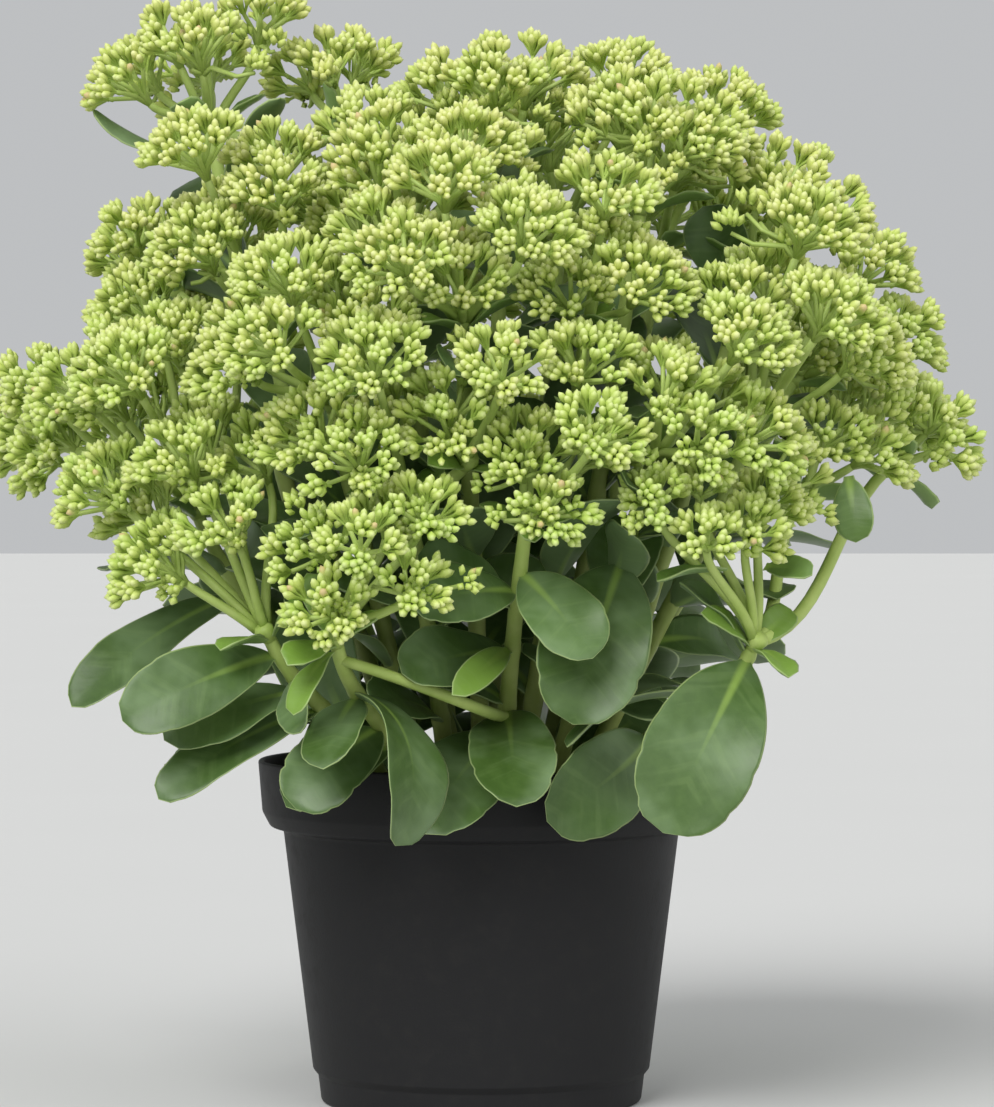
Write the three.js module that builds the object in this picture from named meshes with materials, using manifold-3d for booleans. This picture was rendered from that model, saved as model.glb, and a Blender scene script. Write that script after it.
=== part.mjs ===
// A potted stonecrop (a Hylotelephium of the border kind) in bud, in a black nursery pot.
//
// The plant is a clump of fleshy stems that stand in the compost, each with flat obovate leaves up its
// length and a domed, much-branched head of closed buds at its top. Together the heads make one dome, wider
// than the pot. Millimetres, +Z up. The origin is the middle of the pot's underside, and -Y is the plant's
// front.

import * as THREE from "three";
import { mergeVertices } from "three/addons/utils/BufferGeometryUtils.js";
import Module from "manifold-3d";

const wasm = await Module();
wasm.setup();

// ---- Driving dimensions ---------------------------------------------------------------------------------

// The pot: a blow-moulded 17 cm nursery pot, with a deep band below its rim and a step above its foot.
const POT_HEIGHT = 130;
const RIM_RADIUS = 85;
const BAND_DEPTH = 26;
const BODY_TOP_RADIUS = 75.4;
const BODY_FOOT_RADIUS = 64.2;
const FOOT_RADIUS = 61;
const FOOT_HEIGHT = 10;
const POT_WALL = 1.4;
const FLOOR_THICKNESS = 3.2;
const POT_SIDES = 28;
const DRAIN_COUNT = 8;
const DRAIN_RADIUS = 4.5;
const DRAIN_RING = 49;

// The compost that fills it, a little mounded, with a plain hole for each stem.
const SOIL_TOP = 117;
const SOIL_EDGE = 113.5;
const PLANTING_DEPTH = 10;

// The stems, which stand closer together in the compost than their heads do above it.
const HEART = new THREE.Vector3(0, 0, 140);
const ROOT_SHARE = 0.33;
const ROOT_SPACING = 12.5;
const ROOT_ROUNDS = 60;
const STEM_FOOT_RADIUS = 3.7;
const STEM_TOP_RADIUS = 2.5;
const STEM_STEPS = 5;
const STEM_SIDES = 5;

// The heads. A ray runs to each cymule, which is one small domed cluster of buds, from a hub at the top of
// a stem or of a side branch.
const HUB_RADIUS = 5.4;
const HUB_LENGTH = 6;
const HUB_DEPTH = 12;
const BRANCH_RADIUS = 1.9;
const RAY_RADIUS = 1.15;
const RAY_SPREAD = 2.9;
const CYMULE_RADIUS = 15;
const CYMULE_VARIATION = 0.9;
const GOLDEN_ANGLE = Math.PI * (3 - Math.sqrt(5));

// How the cymules of all the heads share out the dome.
const EASING_ROUNDS = 120;
const EASY_ROOM = 1.2;
const RAY_ROOM = 0.9;
const NEIGHBOURHOOD = 60;

// A cymule's tufts of buds, the valleys between them and the skirt below. A slant is an angle from the way
// the cymule faces, in radians, and a reach or a depth is a share of its radius.
const TUFTS = 5;
const TUFT_SLANT = 1.25;
const VALLEY_SLANT = 0.62;
const VALLEY_REACH = 0.58;
const SKIRT_SLANT = 1.7;
const SKIRT_REACH = 0.86;
const NECK_DEPTH = 1.1;
const FLATNESS = 0.9;
const SPREAD = 1.4;

// The leaves: their thickness at the midrib, how far they start from the stem's middle, and the places
// along them that are given corners, on the leaves that stand out at the front and on the others.
const LEAF_THICKNESS = 2.2;
const LEAF_START = 1.4;
const SHOWY_EDGE = [0.2, 0.42, 0.62, 0.78, 0.91];
const SHOWY_MIDRIB = [0.3, 0.55, 0.8];
const PLAIN_EDGE = [0.3, 0.58, 0.84];
const PLAIN_MIDRIB = [0.34, 0.72];

// The room kept between one solid and the next, that kept round a leaf, and how far from flat a merged face
// may be.
const GAP = 0.3;
const LEAF_GAP = 0.45;
const FLAT = 0.001;

// Each stem: the lobes of its head as [x, y, z, radius, cymules, cymule radius], and the hub at its top
// from which the head's rays spread, where that isn't plainly below the first lobe. showy are the leaves
// that stand out at the front, as [share of the stem's length, tip x, y, z, half width, arch, lean], and
// leaves is how many more there are.
const STEMS = [
  {
    lobes: [[-114, -86, 240, 37, 7]],
    hub: [-76, -92, 179],
    showy: [
      [0.93, -128, -112, 151, 14, 0.7, -0.8],
      [0.8, -64, -116, 147, 7, 0.5, 0.2],
      [0.6, -116, -100, 122, 11, 0.7, -0.2],
    ],
    leaves: 2,
  },
  {
    lobes: [[-37, -138, 221, 25, 6, 11.5]],
    hub: [-51, -116, 178],
    showy: [
      [0.74, -30, -132, 108, 18, 1.8, -1.2],
      [0.5, -66, -108, 119, 15, 0.9, -0.2],
    ],
    leaves: 2,
  },
  {
    lobes: [[33, -128, 252, 25, 5, 13], [44, -118, 278, 14, 1]],
    hub: [16, -108, 218],
    showy: [
      [0.36, 13, -122, 121, 16, 0.7, 0.1],
      [0.28, -20, -106, 110, 18, 0.8, 0],
      [0.85, 40, -126, 174, 14, 0.6, 0.3],
      [0.78, -24, -124, 192, 13, 0.6, -0.3],
      [0.56, -28, -114, 168, 14, 0.5, -0.2],
    ],
    leaves: 2,
  },
  {
    lobes: [[90, -118, 235, 31, 5, 10], [143, -62, 251, 17, 2, 12.5], [178, -40, 259, 16, 3, 11]],
    hub: [98, -95, 176],
    showy: [
      [0.95, 65, -126, 112, 21, 0.8, 0.1],
      [0.42, 24, -100, 114, 17, 0.8, -0.2],
      [0.97, 72, -92, 200, 13, 0.6, 0.4],
      [0.7, 22, -104, 138, 9, 1.2, 1.3],
    ],
    leaves: 0,
  },
  {
    lobes: [[-47, -122, 264, 27, 4], [-4, -128, 268, 20, 3, 13.5]],
    hub: [-26, -86, 228],
    showy: [
      [0.3, -44, -92, 158, 15, 0.6, -0.4],
      [0.62, -54, -104, 200, 13, 0.6, -0.3],
    ],
    leaves: 3,
  },
  {
    lobes: [[79, -114, 271, 30, 6]],
    showy: [[0.7, 33, -117, 150, 20, 0.8, 0.1]],
    leaves: 3,
  },
  {
    lobes: [[-136, -52, 288, 32, 6], [-168, -4, 262, 24, 4, 12.5]],
    hub: [-106, -22, 222],
    showy: [[0.72, -151, -58, 153, 12, 0.6, -0.7]],
    leaves: 4,
  },
  { lobes: [[-69, -104, 297, 33, 6]], showy: [[0.35, -70, -88, 190, 14, 0.6, -0.3]], leaves: 4 },
  { lobes: [[-8, -108, 328, 31, 7]], showy: [[0.5, -8, -104, 226, 14, 0.6, 0.2]], leaves: 4 },
  { lobes: [[47, -97, 324, 28, 4]], showy: [[0.45, 50, -100, 230, 14, 0.6, 0.2]], leaves: 3 },
  {
    lobes: [[123, -78, 306, 28, 6], [146, -18, 305, 26, 5]],
    hub: [97, -48, 247],
    showy: [
      [0.3, 88, -82, 160, 16, 0.7, 0.3],
      [0.7, 132, -70, 222, 14, 0.6, 0.3],
    ],
    leaves: 3,
  },
  { lobes: [[-93, -41, 347, 32, 6], [-135, 21, 333, 15, 3, 12.5]], hub: [-78, -22, 284], leaves: 5 },
  { lobes: [[-34, -51, 360, 35, 6, 16]], leaves: 4 },
  { lobes: [[9, -12, 394, 31, 6, 16]], leaves: 4 },
  { lobes: [[72, -35, 377, 32, 6, 16]], leaves: 4 },
  { lobes: [[123, -6, 349, 32, 6, 16]], leaves: 4 },
  {
    lobes: [[-119, 32, 408, 38, 7, 14], [-61, 38, 403, 18, 3, 12.5]],
    hub: [-104, 26, 367],
    showy: [
      [0.97, -149, 14, 378, 8, 0.7, 2.7],
      [0.86, -76, -8, 381, 10, 0.5, 0.2],
    ],
    leaves: 3,
  },
  { lobes: [[-41, 64, 354, 30, 5, 16.5]], leaves: 4 },
  { lobes: [[38, 65, 377, 36, 6, 16.5]], leaves: 4 },
  { lobes: [[84, 57, 362, 32, 6, 16.5]], leaves: 4 },
  { lobes: [[-117, 83, 302, 36, 7, 16.5], [-160, 52, 262, 18, 3]], hub: [-96, 62, 234], leaves: 5 },
  { lobes: [[-36, 118, 318, 34, 6, 16.5]], leaves: 4 },
  { lobes: [[42, 120, 318, 34, 6, 16.5]], leaves: 4 },
  { lobes: [[119, 91, 285, 35, 6, 16.5], [161, 37, 268, 17, 3]], hub: [98, 64, 230], leaves: 5 },
  { lobes: [[-84, 136, 248, 34, 5, 16.5]], leaves: 4 },
  { lobes: [[4, 154, 254, 34, 6, 16.5]], leaves: 5 },
  { lobes: [[86, 138, 242, 34, 5, 16.5]], leaves: 4 },
];

// ---- Small tools ----------------------------------------------------------------------------------------

const vector = (x, y, z) => new THREE.Vector3(x, y, z);

// A repeatable draw between low and high, the same for the same three whole numbers.
function draw(low, high, a, b = 0, c = 0) {
  const wave = Math.sin(a * 12.9898 + b * 78.233 + c * 37.719) * 43758.5453;
  return low + (high - low) * (wave - Math.floor(wave));
}

// Two directions square to a given one and to each other.
function basis(direction) {
  const lean = Math.abs(direction.z) > 0.95 ? vector(0, 1, 0) : vector(0, 0, 1);
  const right = lean.cross(direction).normalize();
  return [right, direction.clone().cross(right).normalize()];
}

// A closed solid from corner points and triangles.
function solidFrom(points, triangles) {
  const vertProperties = new Float32Array(points.flatMap((p) => [p.x, p.y, p.z]));
  const triVerts = new Uint32Array(triangles.flat());
  return new wasm.Manifold(new wasm.Mesh({ numProp: 3, vertProperties, triVerts }));
}

function solidOf(geometry) {
  geometry.deleteAttribute("normal");
  geometry.deleteAttribute("uv");
  const merged = mergeVertices(geometry, 1e-3);
  const triVerts = new Uint32Array(merged.index.array);
  return new wasm.Manifold(
    new wasm.Mesh({ numProp: 3, vertProperties: merged.attributes.position.array, triVerts }),
  );
}

// Faces that a join or a cut has split are made whole again as the solid becomes a mesh.
function meshOf(name, solid, material) {
  const found = solid.asOriginal().simplify(FLAT).getMesh();
  const geometry = new THREE.BufferGeometry();
  geometry.setAttribute("position", new THREE.BufferAttribute(found.vertProperties, 3));
  geometry.setIndex(new THREE.BufferAttribute(found.triVerts, 1));
  geometry.computeVertexNormals();
  const mesh = new THREE.Mesh(geometry, material);
  mesh.name = name;
  return mesh;
}

// A round bar through a row of points, with a radius at each. Its rings don't twist along the way.
function bar(points, radii, sides) {
  const corners = [];
  const triangles = [];
  let right = null;
  points.forEach((point, i) => {
    const before = points[Math.max(0, i - 1)];
    const after = points[Math.min(points.length - 1, i + 1)];
    const along = after.clone().sub(before).normalize();
    right = right ? right.addScaledVector(along, -right.dot(along)).normalize() : basis(along)[0];
    const up = along.clone().cross(right);
    for (let k = 0; k < sides; k++) {
      const angle = (2 * Math.PI * k) / sides;
      corners.push(
        point
          .clone()
          .addScaledVector(right, radii[i] * Math.cos(angle))
          .addScaledVector(up, radii[i] * Math.sin(angle)),
      );
    }
  });
  for (let i = 0; i + 1 < points.length; i++) {
    for (let k = 0; k < sides; k++) {
      const next = (k + 1) % sides;
      const [a, b] = [i * sides + k, i * sides + next];
      triangles.push([a, b, b + sides], [a, b + sides, a + sides]);
    }
  }
  const last = (points.length - 1) * sides;
  for (let k = 1; k + 1 < sides; k++) {
    triangles.push([0, k + 1, k], [last, last + k, last + k + 1]);
  }
  return solidFrom(corners, triangles);
}

// ---- The pot --------------------------------------------------------------------------------------------

function potSolid() {
  const bandFoot = POT_HEIGHT - BAND_DEPTH;
  const profile = [
    [0, 0],
    [42, 0],
    [43.5, 1.8],
    [54.5, 1.8],
    [56, 0],
    [FOOT_RADIUS, 0],
    [FOOT_RADIUS + 1.2, FOOT_HEIGHT],
    [BODY_FOOT_RADIUS, FOOT_HEIGHT + 2.5],
    [BODY_TOP_RADIUS, bandFoot - 0.5],
    [RIM_RADIUS - 4.5, bandFoot + 1],
    [RIM_RADIUS - 1.6, bandFoot + 6.5],
    [RIM_RADIUS, POT_HEIGHT],
    [RIM_RADIUS - 2.2, POT_HEIGHT],
    [RIM_RADIUS - 3.1, bandFoot + 7],
    [BODY_TOP_RADIUS - POT_WALL, bandFoot + 1],
    [BODY_FOOT_RADIUS - POT_WALL - 0.4, FOOT_HEIGHT + 2],
    [FOOT_RADIUS - 0.8, FLOOR_THICKNESS],
    [0, FLOOR_THICKNESS],
  ].map(([r, z]) => new THREE.Vector2(r, z));
  let solid = solidOf(new THREE.LatheGeometry(profile, POT_SIDES).rotateX(Math.PI / 2));
  for (let i = 0; i < DRAIN_COUNT; i++) {
    const angle = (2 * Math.PI * (i + 0.5)) / DRAIN_COUNT;
    const drain = new THREE.CylinderGeometry(DRAIN_RADIUS, DRAIN_RADIUS, 4 * FLOOR_THICKNESS, 6)
      .rotateX(Math.PI / 2)
      .translate(DRAIN_RING * Math.cos(angle), DRAIN_RING * Math.sin(angle), 0);
    solid = solid.subtract(solidOf(drain));
  }
  return solid;
}

// ---- The compost ----------------------------------------------------------------------------------------

function soilSolid(stems) {
  const bandFoot = POT_HEIGHT - BAND_DEPTH;
  const wallGap = POT_WALL + GAP + 0.1;
  const profile = [
    [0, FLOOR_THICKNESS + GAP],
    [FOOT_RADIUS - 1.2, FLOOR_THICKNESS + GAP],
    [BODY_FOOT_RADIUS - wallGap - 0.4, FOOT_HEIGHT + 2.2],
    [BODY_TOP_RADIUS - wallGap, bandFoot + 1.3],
    [RIM_RADIUS - 3.6, bandFoot + 7.3],
    [RIM_RADIUS - 3.5, SOIL_EDGE],
    [70, SOIL_EDGE + 2],
    [40, SOIL_TOP],
    [0, SOIL_TOP],
  ].map(([r, z]) => new THREE.Vector2(r, z));
  let solid = solidOf(new THREE.LatheGeometry(profile, POT_SIDES).rotateX(Math.PI / 2));
  for (const stem of stems) {
    const [foot, above] = stem.route;
    const below = foot.clone().addScaledVector(above.clone().sub(foot).normalize(), -GAP);
    const width = STEM_FOOT_RADIUS + GAP / Math.cos(Math.PI / STEM_SIDES);
    solid = solid.subtract(bar([below, above], [width, width], STEM_SIDES));
  }
  return solid;
}

// ---- The stems ------------------------------------------------------------------------------------------

// Where the head of each stem is held, and the way it faces: out from the heart of the plant.
function planLobes(stem) {
  return stem.lobes.map(([x, y, z, radius, count, cymuleRadius = CYMULE_RADIUS]) => {
    const centre = vector(x, y, z);
    const facing = centre.clone().sub(HEART).normalize();
    const hub = centre.clone().addScaledVector(facing, -(radius + HUB_DEPTH));
    return { centre, facing, hub, radius, count, cymuleRadius };
  });
}

// The feet of the stems, in the same layout as their hubs but drawn in, pushed apart until each has its own
// room.
function placeRoots(stems) {
  for (const stem of stems) {
    stem.root = new THREE.Vector2(stem.hub.x, stem.hub.y).multiplyScalar(ROOT_SHARE);
  }
  for (let round = 0; round < ROOT_ROUNDS; round++) {
    for (let i = 0; i < stems.length; i++) {
      for (let j = i + 1; j < stems.length; j++) {
        const apart = stems[j].root.clone().sub(stems[i].root);
        const short = ROOT_SPACING - apart.length();
        if (short > 0) {
          apart.normalize().multiplyScalar(short / 2);
          stems[j].root.add(apart);
          stems[i].root.sub(apart);
        }
      }
    }
  }
}

// A stem climbs out of the compost and leans out to its hub, where it points the way its head faces.
function stemCurve(stem) {
  const foot = vector(stem.root.x, stem.root.y, SOIL_TOP - PLANTING_DEPTH);
  const rise = stem.hub.distanceTo(foot) / 3;
  const lean = vector(stem.root.x, stem.root.y, 0).multiplyScalar(0.012);
  const start = foot.clone().add(vector(lean.x, lean.y, 1).normalize().multiplyScalar(rise * 1.15));
  const heading = stem.lobes[0].facing.clone().add(vector(0, 0, 0.9)).normalize();
  const end = stem.hub.clone().addScaledVector(heading, -rise * 0.8);
  return new THREE.CubicBezierCurve3(foot, start, end, stem.hub);
}

// The flat faces that the rays leave from: one over the stem's own top, and one over each side branch.
function placeTops(stem) {
  const [before, end] = stem.route.slice(-2);
  const along = end.clone().sub(before).normalize();
  const [main, ...others] = stem.lobes;
  main.top = { centre: end.clone().addScaledVector(along, HUB_LENGTH + GAP), along };
  for (const lobe of others) {
    const across = lobe.hub.clone().sub(main.top.centre).normalize();
    lobe.top = { centre: lobe.hub, along: across.add(lobe.facing).normalize() };
  }
}

function stalkSolid(stem) {
  const taper = (STEM_FOOT_RADIUS - STEM_TOP_RADIUS) / STEM_STEPS;
  const radii = stem.route.map((_, i) => STEM_FOOT_RADIUS - taper * i);
  return bar(stem.route, radii, STEM_SIDES);
}

// ---- The heads ------------------------------------------------------------------------------------------

// Each lobe of a head is a spiral of cymules over a shallow dome.
function placeCymules(stems) {
  const all = [];
  stems.forEach((stem, s) => {
    stem.lobes.forEach((lobe, l) => {
      const [right, up] = basis(lobe.facing);
      const turn = draw(0, 2 * Math.PI, s, l, 1);
      lobe.cymules = [];
      for (let i = 0; i < lobe.count; i++) {
        const reach = (lobe.radius - 0.45 * lobe.cymuleRadius) * Math.sqrt((i + 0.2) / (lobe.count - 0.4));
        const angle = turn + i * GOLDEN_ANGLE;
        const first = lobe.centre
          .clone()
          .addScaledVector(right, reach * Math.cos(angle))
          .addScaledVector(up, reach * Math.sin(angle))
          .addScaledVector(lobe.facing, draw(-2, 2, s, l, i + 7) - (0.4 * reach * reach) / lobe.radius);
        const radius = lobe.cymuleRadius + draw(-CYMULE_VARIATION, CYMULE_VARIATION, s, l, i + 50);
        lobe.cymules.push({ first, centre: first.clone(), radius, turn: angle, hub: lobe.hub });
      }
      all.push(...lobe.cymules);
    });
  });
  easeApart(all);
  for (const lobe of stems.flatMap((stem) => stem.lobes)) {
    for (const cymule of lobe.cymules) {
      const spread = cymule.centre.clone().sub(lobe.hub).normalize();
      cymule.facing = spread.multiplyScalar(0.6).addScaledVector(lobe.facing, 0.4).normalize();
      cymule.foot = footOn(lobe.top, cymule.centre);
      cymule.neck = cymule.centre.clone().addScaledVector(cymule.facing, -NECK_DEPTH * cymule.radius);
    }
  }
  return all;
}

// Where the ray to a point leaves the flat face that tops a stem or branch, sunk a little into it.
function footOn({ centre, along }, point) {
  const sideways = point.clone().sub(centre).normalize();
  sideways.addScaledVector(along, -sideways.dot(along));
  return centre
    .clone()
    .addScaledVector(sideways, RAY_SPREAD / Math.max(0.6, sideways.length()))
    .addScaledVector(along, -1);
}

// Moves the cymules a little at a time, until they share the dome out evenly and none has another's ray
// through it.
function easeApart(all) {
  for (let round = 0; round < EASING_ROUNDS; round++) {
    const hold = 0.05 * Math.max(0, 1 - (1.3 * round) / EASING_ROUNDS);
    const moves = all.map((cymule) => cymule.first.clone().sub(cymule.centre).multiplyScalar(hold));
    all.forEach((ray, i) => {
      const line = ray.centre.clone().sub(ray.hub);
      all.forEach((cymule, j) => {
        if (i === j) return;
        const fromHub = cymule.centre.clone().sub(ray.hub);
        const share = Math.min(1, Math.max(0, fromHub.dot(line) / line.lengthSq()));
        const apart = fromHub.addScaledVector(line, -share);
        const room = share < 1 ? RAY_ROOM * cymule.radius : cymule.radius + ray.radius + GAP;
        const short = Math.max(0, room - apart.length());
        const close = share < 1 ? 0 : Math.max(0, EASY_ROOM * room - apart.length());
        if (short + close > 0) {
          apart.normalize().multiplyScalar(0.25 * short + 0.06 * close);
          moves[j].add(apart);
          moves[i].addScaledVector(apart, -share);
        }
      });
    });
    all.forEach((cymule, i) => cymule.centre.add(moves[i]));
  }
}

// How far a cymule may grow in a direction before it comes to the room of something else.
function roomTowards(cymule, direction) {
  return cymule.walls.reduce((room, wall) => {
    const closing = direction.dot(wall.towards);
    return closing > 0 ? Math.min(room, wall.distance / closing) : room;
  }, Infinity);
}

// A wall stands half way to each other cymule, and just short of each ray and stem that passes by.
function wallsRound(cymule, all, stems) {
  const walls = [];
  const add = (point, distance) => {
    const across = point.clone().sub(cymule.centre);
    const length = across.length();
    if (length > NEIGHBOURHOOD) return;
    walls.push({ towards: across.divideScalar(length), distance: distance(length) });
  };
  const nearest = (from, to) => {
    const line = new THREE.Line3(from, to);
    return line.closestPointToPoint(cymule.centre, true, vector(0, 0, 0));
  };
  for (const other of all) {
    if (other === cymule) continue;
    add(other.centre, (length) => (length - GAP) / 2);
    add(nearest(other.foot, other.neck), (length) => length - RAY_RADIUS - 2 * GAP);
  }
  for (const { route } of stems) {
    for (let i = 0; i < STEM_STEPS; i++) {
      add(nearest(route[i], route[i + 1]), (length) => length - STEM_TOP_RADIUS - 2 * GAP);
    }
  }
  return walls;
}

// A cymule has a tuft of buds at its crown and others round it, raised as peaks from a faceted dome. The
// outer tufts reach out to meet those of the neighbours.
function cymuleSolid(cymule) {
  const { centre, facing, radius, turn, foot } = cymule;
  const [right, up] = basis(facing);
  const at = (slant, angle, share, spread) => {
    const direction = facing
      .clone()
      .multiplyScalar(FLATNESS * Math.cos(slant))
      .addScaledVector(right, spread * Math.sin(slant) * Math.cos(angle))
      .addScaledVector(up, spread * Math.sin(slant) * Math.sin(angle));
    const most = radius * direction.length();
    const reach = Math.min(most, roomTowards(cymule, direction.normalize()));
    return centre.clone().addScaledVector(direction, share * reach);
  };
  const corners = [at(0, 0, 1, 1)];
  const triangles = [];
  for (let k = 0; k < TUFTS; k++) {
    const angle = turn + (2 * Math.PI * k) / TUFTS;
    const between = angle - Math.PI / TUFTS;
    corners.push(
      at(VALLEY_SLANT, between, VALLEY_REACH, 1),
      at(TUFT_SLANT, angle, 1, SPREAD),
      at(SKIRT_SLANT, between, SKIRT_REACH, SPREAD),
    );
  }
  const [valley, tuft, skirt] = [1, 2, 3].map((start) => (k) => start + 3 * (k % TUFTS));
  for (let k = 0; k < TUFTS; k++) {
    triangles.push(
      [0, valley(k), valley(k + 1)],
      [tuft(k), valley(k + 1), valley(k)],
      [tuft(k), valley(k), skirt(k)],
      [tuft(k), skirt(k), skirt(k + 1)],
      [tuft(k), skirt(k + 1), valley(k + 1)],
    );
  }
  // Below the skirt it draws in to a three-sided neck, and from there the ray runs down into the hub.
  const below = facing.clone().negate();
  const depth = Math.min(NECK_DEPTH * radius, roomTowards(cymule, below) - RAY_RADIUS);
  const neckCentre = centre.clone().addScaledVector(below, depth);
  const away = foot.clone().sub(neckCentre).normalize();
  const ring = (middle) =>
    [0, 1, 2].map((k) => {
      const angle = turn + (2 * Math.PI * k) / 3;
      const outward = right.clone().multiplyScalar(Math.cos(angle)).addScaledVector(up, Math.sin(angle));
      outward.addScaledVector(away, -outward.dot(away)).normalize();
      return corners.push(middle.clone().addScaledVector(outward, RAY_RADIUS)) - 1;
    });
  const neck = ring(neckCentre);
  const feet = ring(foot);
  const nearest = [0, 0, 1, 2, 2];
  for (let k = 0; k < TUFTS; k++) {
    triangles.push([skirt(k), neck[nearest[k]], skirt(k + 1)]);
    const step = nearest[(k + 1) % TUFTS];
    if (step !== nearest[k]) triangles.push([skirt(k + 1), neck[nearest[k]], neck[step]]);
  }
  for (let k = 0; k < 3; k++) {
    const next = (k + 1) % 3;
    triangles.push([neck[k], feet[k], feet[next]], [neck[k], feet[next], neck[next]]);
  }
  triangles.push([feet[0], feet[2], feet[1]]);
  return solidFrom(corners, triangles);
}

// The top of a stem or branch, which widens to a flat face that the rays of a lobe spread from.
function hubSolid({ centre, along }) {
  const below = centre.clone().addScaledVector(along, -HUB_LENGTH);
  return bar([below, centre], [STEM_TOP_RADIUS, HUB_RADIUS], STEM_SIDES);
}

function headSolid(stem) {
  const parts = stem.lobes.flatMap((lobe) => [hubSolid(lobe.top), ...lobe.cymules.map(cymuleSolid)]);
  const [main, ...others] = stem.lobes;
  for (const { top } of others) {
    const across = top.centre.clone().sub(main.top.centre);
    const start = main.top.centre.clone().addScaledVector(main.top.along, -0.4 * HUB_LENGTH);
    const sag = vector(0, 0, -0.06 * across.length());
    const middle = main.top.centre.clone().addScaledVector(across, 0.55).add(sag);
    const end = top.centre.clone().addScaledVector(top.along, -0.6 * HUB_LENGTH);
    parts.push(bar([start, middle, end], [BRANCH_RADIUS, BRANCH_RADIUS, BRANCH_RADIUS], STEM_SIDES));
  }
  return wasm.Manifold.union(parts);
}

// ---- The leaves -----------------------------------------------------------------------------------------

// Half the width of a leaf at a share of its length: a wedge from the stem, widest past the middle, blunt
// at the tip.
function outline(share) {
  return Math.pow(share / 0.64, 0.95) * Math.pow((1 - share) / 0.36, 0.5);
}

// A blade from its base to its tip: arched along its length, its edges raised like a shallow trough, and
// turned a little about its midrib. Returns the point at a share of its length, across its width, and above
// its middle.
function bladePoint({ base, tip, upward, halfWidth, arch, cup, twist }) {
  const chord = tip.clone().sub(base);
  const length = chord.length();
  const ahead = chord.normalize();
  const above = upward.clone().addScaledVector(ahead, -upward.dot(ahead)).normalize();
  const side = ahead.clone().cross(above);
  const bend = length / (2 * Math.sin(arch / 2));
  return (share, across, height) => {
    const swing = arch * (share - 0.5);
    const normal = above.clone().multiplyScalar(Math.cos(swing)).addScaledVector(ahead, Math.sin(swing));
    const turn = twist * (share - 0.3);
    const wide = side.clone().multiplyScalar(Math.cos(turn)).addScaledVector(normal, Math.sin(turn));
    const raised = normal.clone().multiplyScalar(Math.cos(turn)).addScaledVector(side, -Math.sin(turn));
    const half = share > 0 && share < 1 ? halfWidth * outline(share) : 0;
    return base
      .clone()
      .addScaledVector(ahead, length / 2 + bend * Math.sin(swing))
      .addScaledVector(above, bend * (Math.cos(swing) - Math.cos(arch / 2)))
      .addScaledVector(wide, across * half)
      .addScaledVector(raised, cup * half * across * across + height);
  };
}

// The same blade as a lens-shaped solid: thick along the midrib and thin at the edge, faceted alike on both
// faces.
function leafSolid(leaf) {
  const point = bladePoint(leaf);
  const { edge, midrib } = leaf;
  const corners = [point(0, 0, 0), point(1, 0, 0)];
  const add = (share, across, height) => corners.push(point(share, across, height)) - 1;
  const rims = [-1, 1].map((side) => edge.map((share) => add(share, side, 0)));
  const faces = [1, -1].map((face) => midrib.map((share) => add(share, 0, (face * LEAF_THICKNESS) / 2)));
  const triangles = [];
  faces.forEach((middle, face) => {
    rims.forEach((rim, side) => {
      const inner = [0, ...middle, 1];
      const innerAt = [0, ...midrib, 1];
      const outer = [0, ...rim, 1];
      const outerAt = [0, ...edge, 1];
      const last = inner.length - 1;
      let [i, o] = [0, 0];
      while (i < last || o < outer.length - 1) {
        const stepOut = i === last || (o < outer.length - 1 && outerAt[o + 1] <= innerAt[i + 1]);
        const [a, b, c] = [inner[i], stepOut ? outer[o + 1] : inner[i + 1], outer[o]];
        if (a !== b && b !== c && c !== a) triangles.push(face === side ? [a, b, c] : [a, c, b]);
        if (stepOut) o += 1;
        else i += 1;
      }
    });
  });
  return solidFrom(corners, triangles);
}

// Where leaf number k of a stem would grow, on the spiral up the stem: large and spreading low down,
// smaller and more upright near the head. Each later choice turns it further round the stem or makes it
// shorter.
const CHOICES = [
  [0, 1],
  [0.5, 1],
  [-0.5, 1],
  [0.25, 0.85],
  [-0.25, 0.85],
  [0.9, 0.9],
  [-0.9, 0.9],
  [0, 0.7],
  [0.6, 0.7],
  [-0.6, 0.7],
  [1.4, 0.7],
  [-1.4, 0.7],
  [2.2, 0.7],
  [-2.2, 0.7],
  [0, 0.55],
  [0.7, 0.55],
  [-0.7, 0.55],
  [1.5, 0.55],
  [-1.5, 0.55],
  [3.1, 0.6],
];

function leafChoice(stem, s, k, choice) {
  const [swing, size] = CHOICES[choice];
  const share = 0.22 + (0.66 * (k + 0.5)) / stem.leaves;
  const along = stem.curve.getTangent(share);
  const [right, up] = basis(along);
  const angle = draw(0, 2 * Math.PI, s, 3) + k * GOLDEN_ANGLE + swing;
  const outward = right.clone().multiplyScalar(Math.cos(angle)).addScaledVector(up, Math.sin(angle));
  const pitch = 0.1 + 0.6 * share + draw(-0.15, 0.15, s, k, 4);
  const length = size * (76 - 30 * share) * draw(0.88, 1.1, s, k, 5);
  const ahead = outward.clone().multiplyScalar(Math.cos(pitch)).addScaledVector(along, Math.sin(pitch));
  const base = stem.curve.getPoint(share).addScaledVector(outward, LEAF_START);
  return {
    base,
    tip: base.clone().addScaledVector(ahead, length),
    upward: along,
    halfWidth: length * draw(0.27, 0.32, s, k, 6),
    arch: draw(0.35, 0.9, s, k, 8),
    cup: draw(0.12, 0.32, s, k, 9),
    twist: draw(-0.5, 0.5, s, k, 10),
    edge: PLAIN_EDGE,
    midrib: PLAIN_MIDRIB,
  };
}

// One of the leaves placed by hand, at its full size or, where that has no room, at a smaller one. lean
// rolls it about its own length.
const SHOWY_SIZES = [1, 0.85, 0.7, 0.55];

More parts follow.
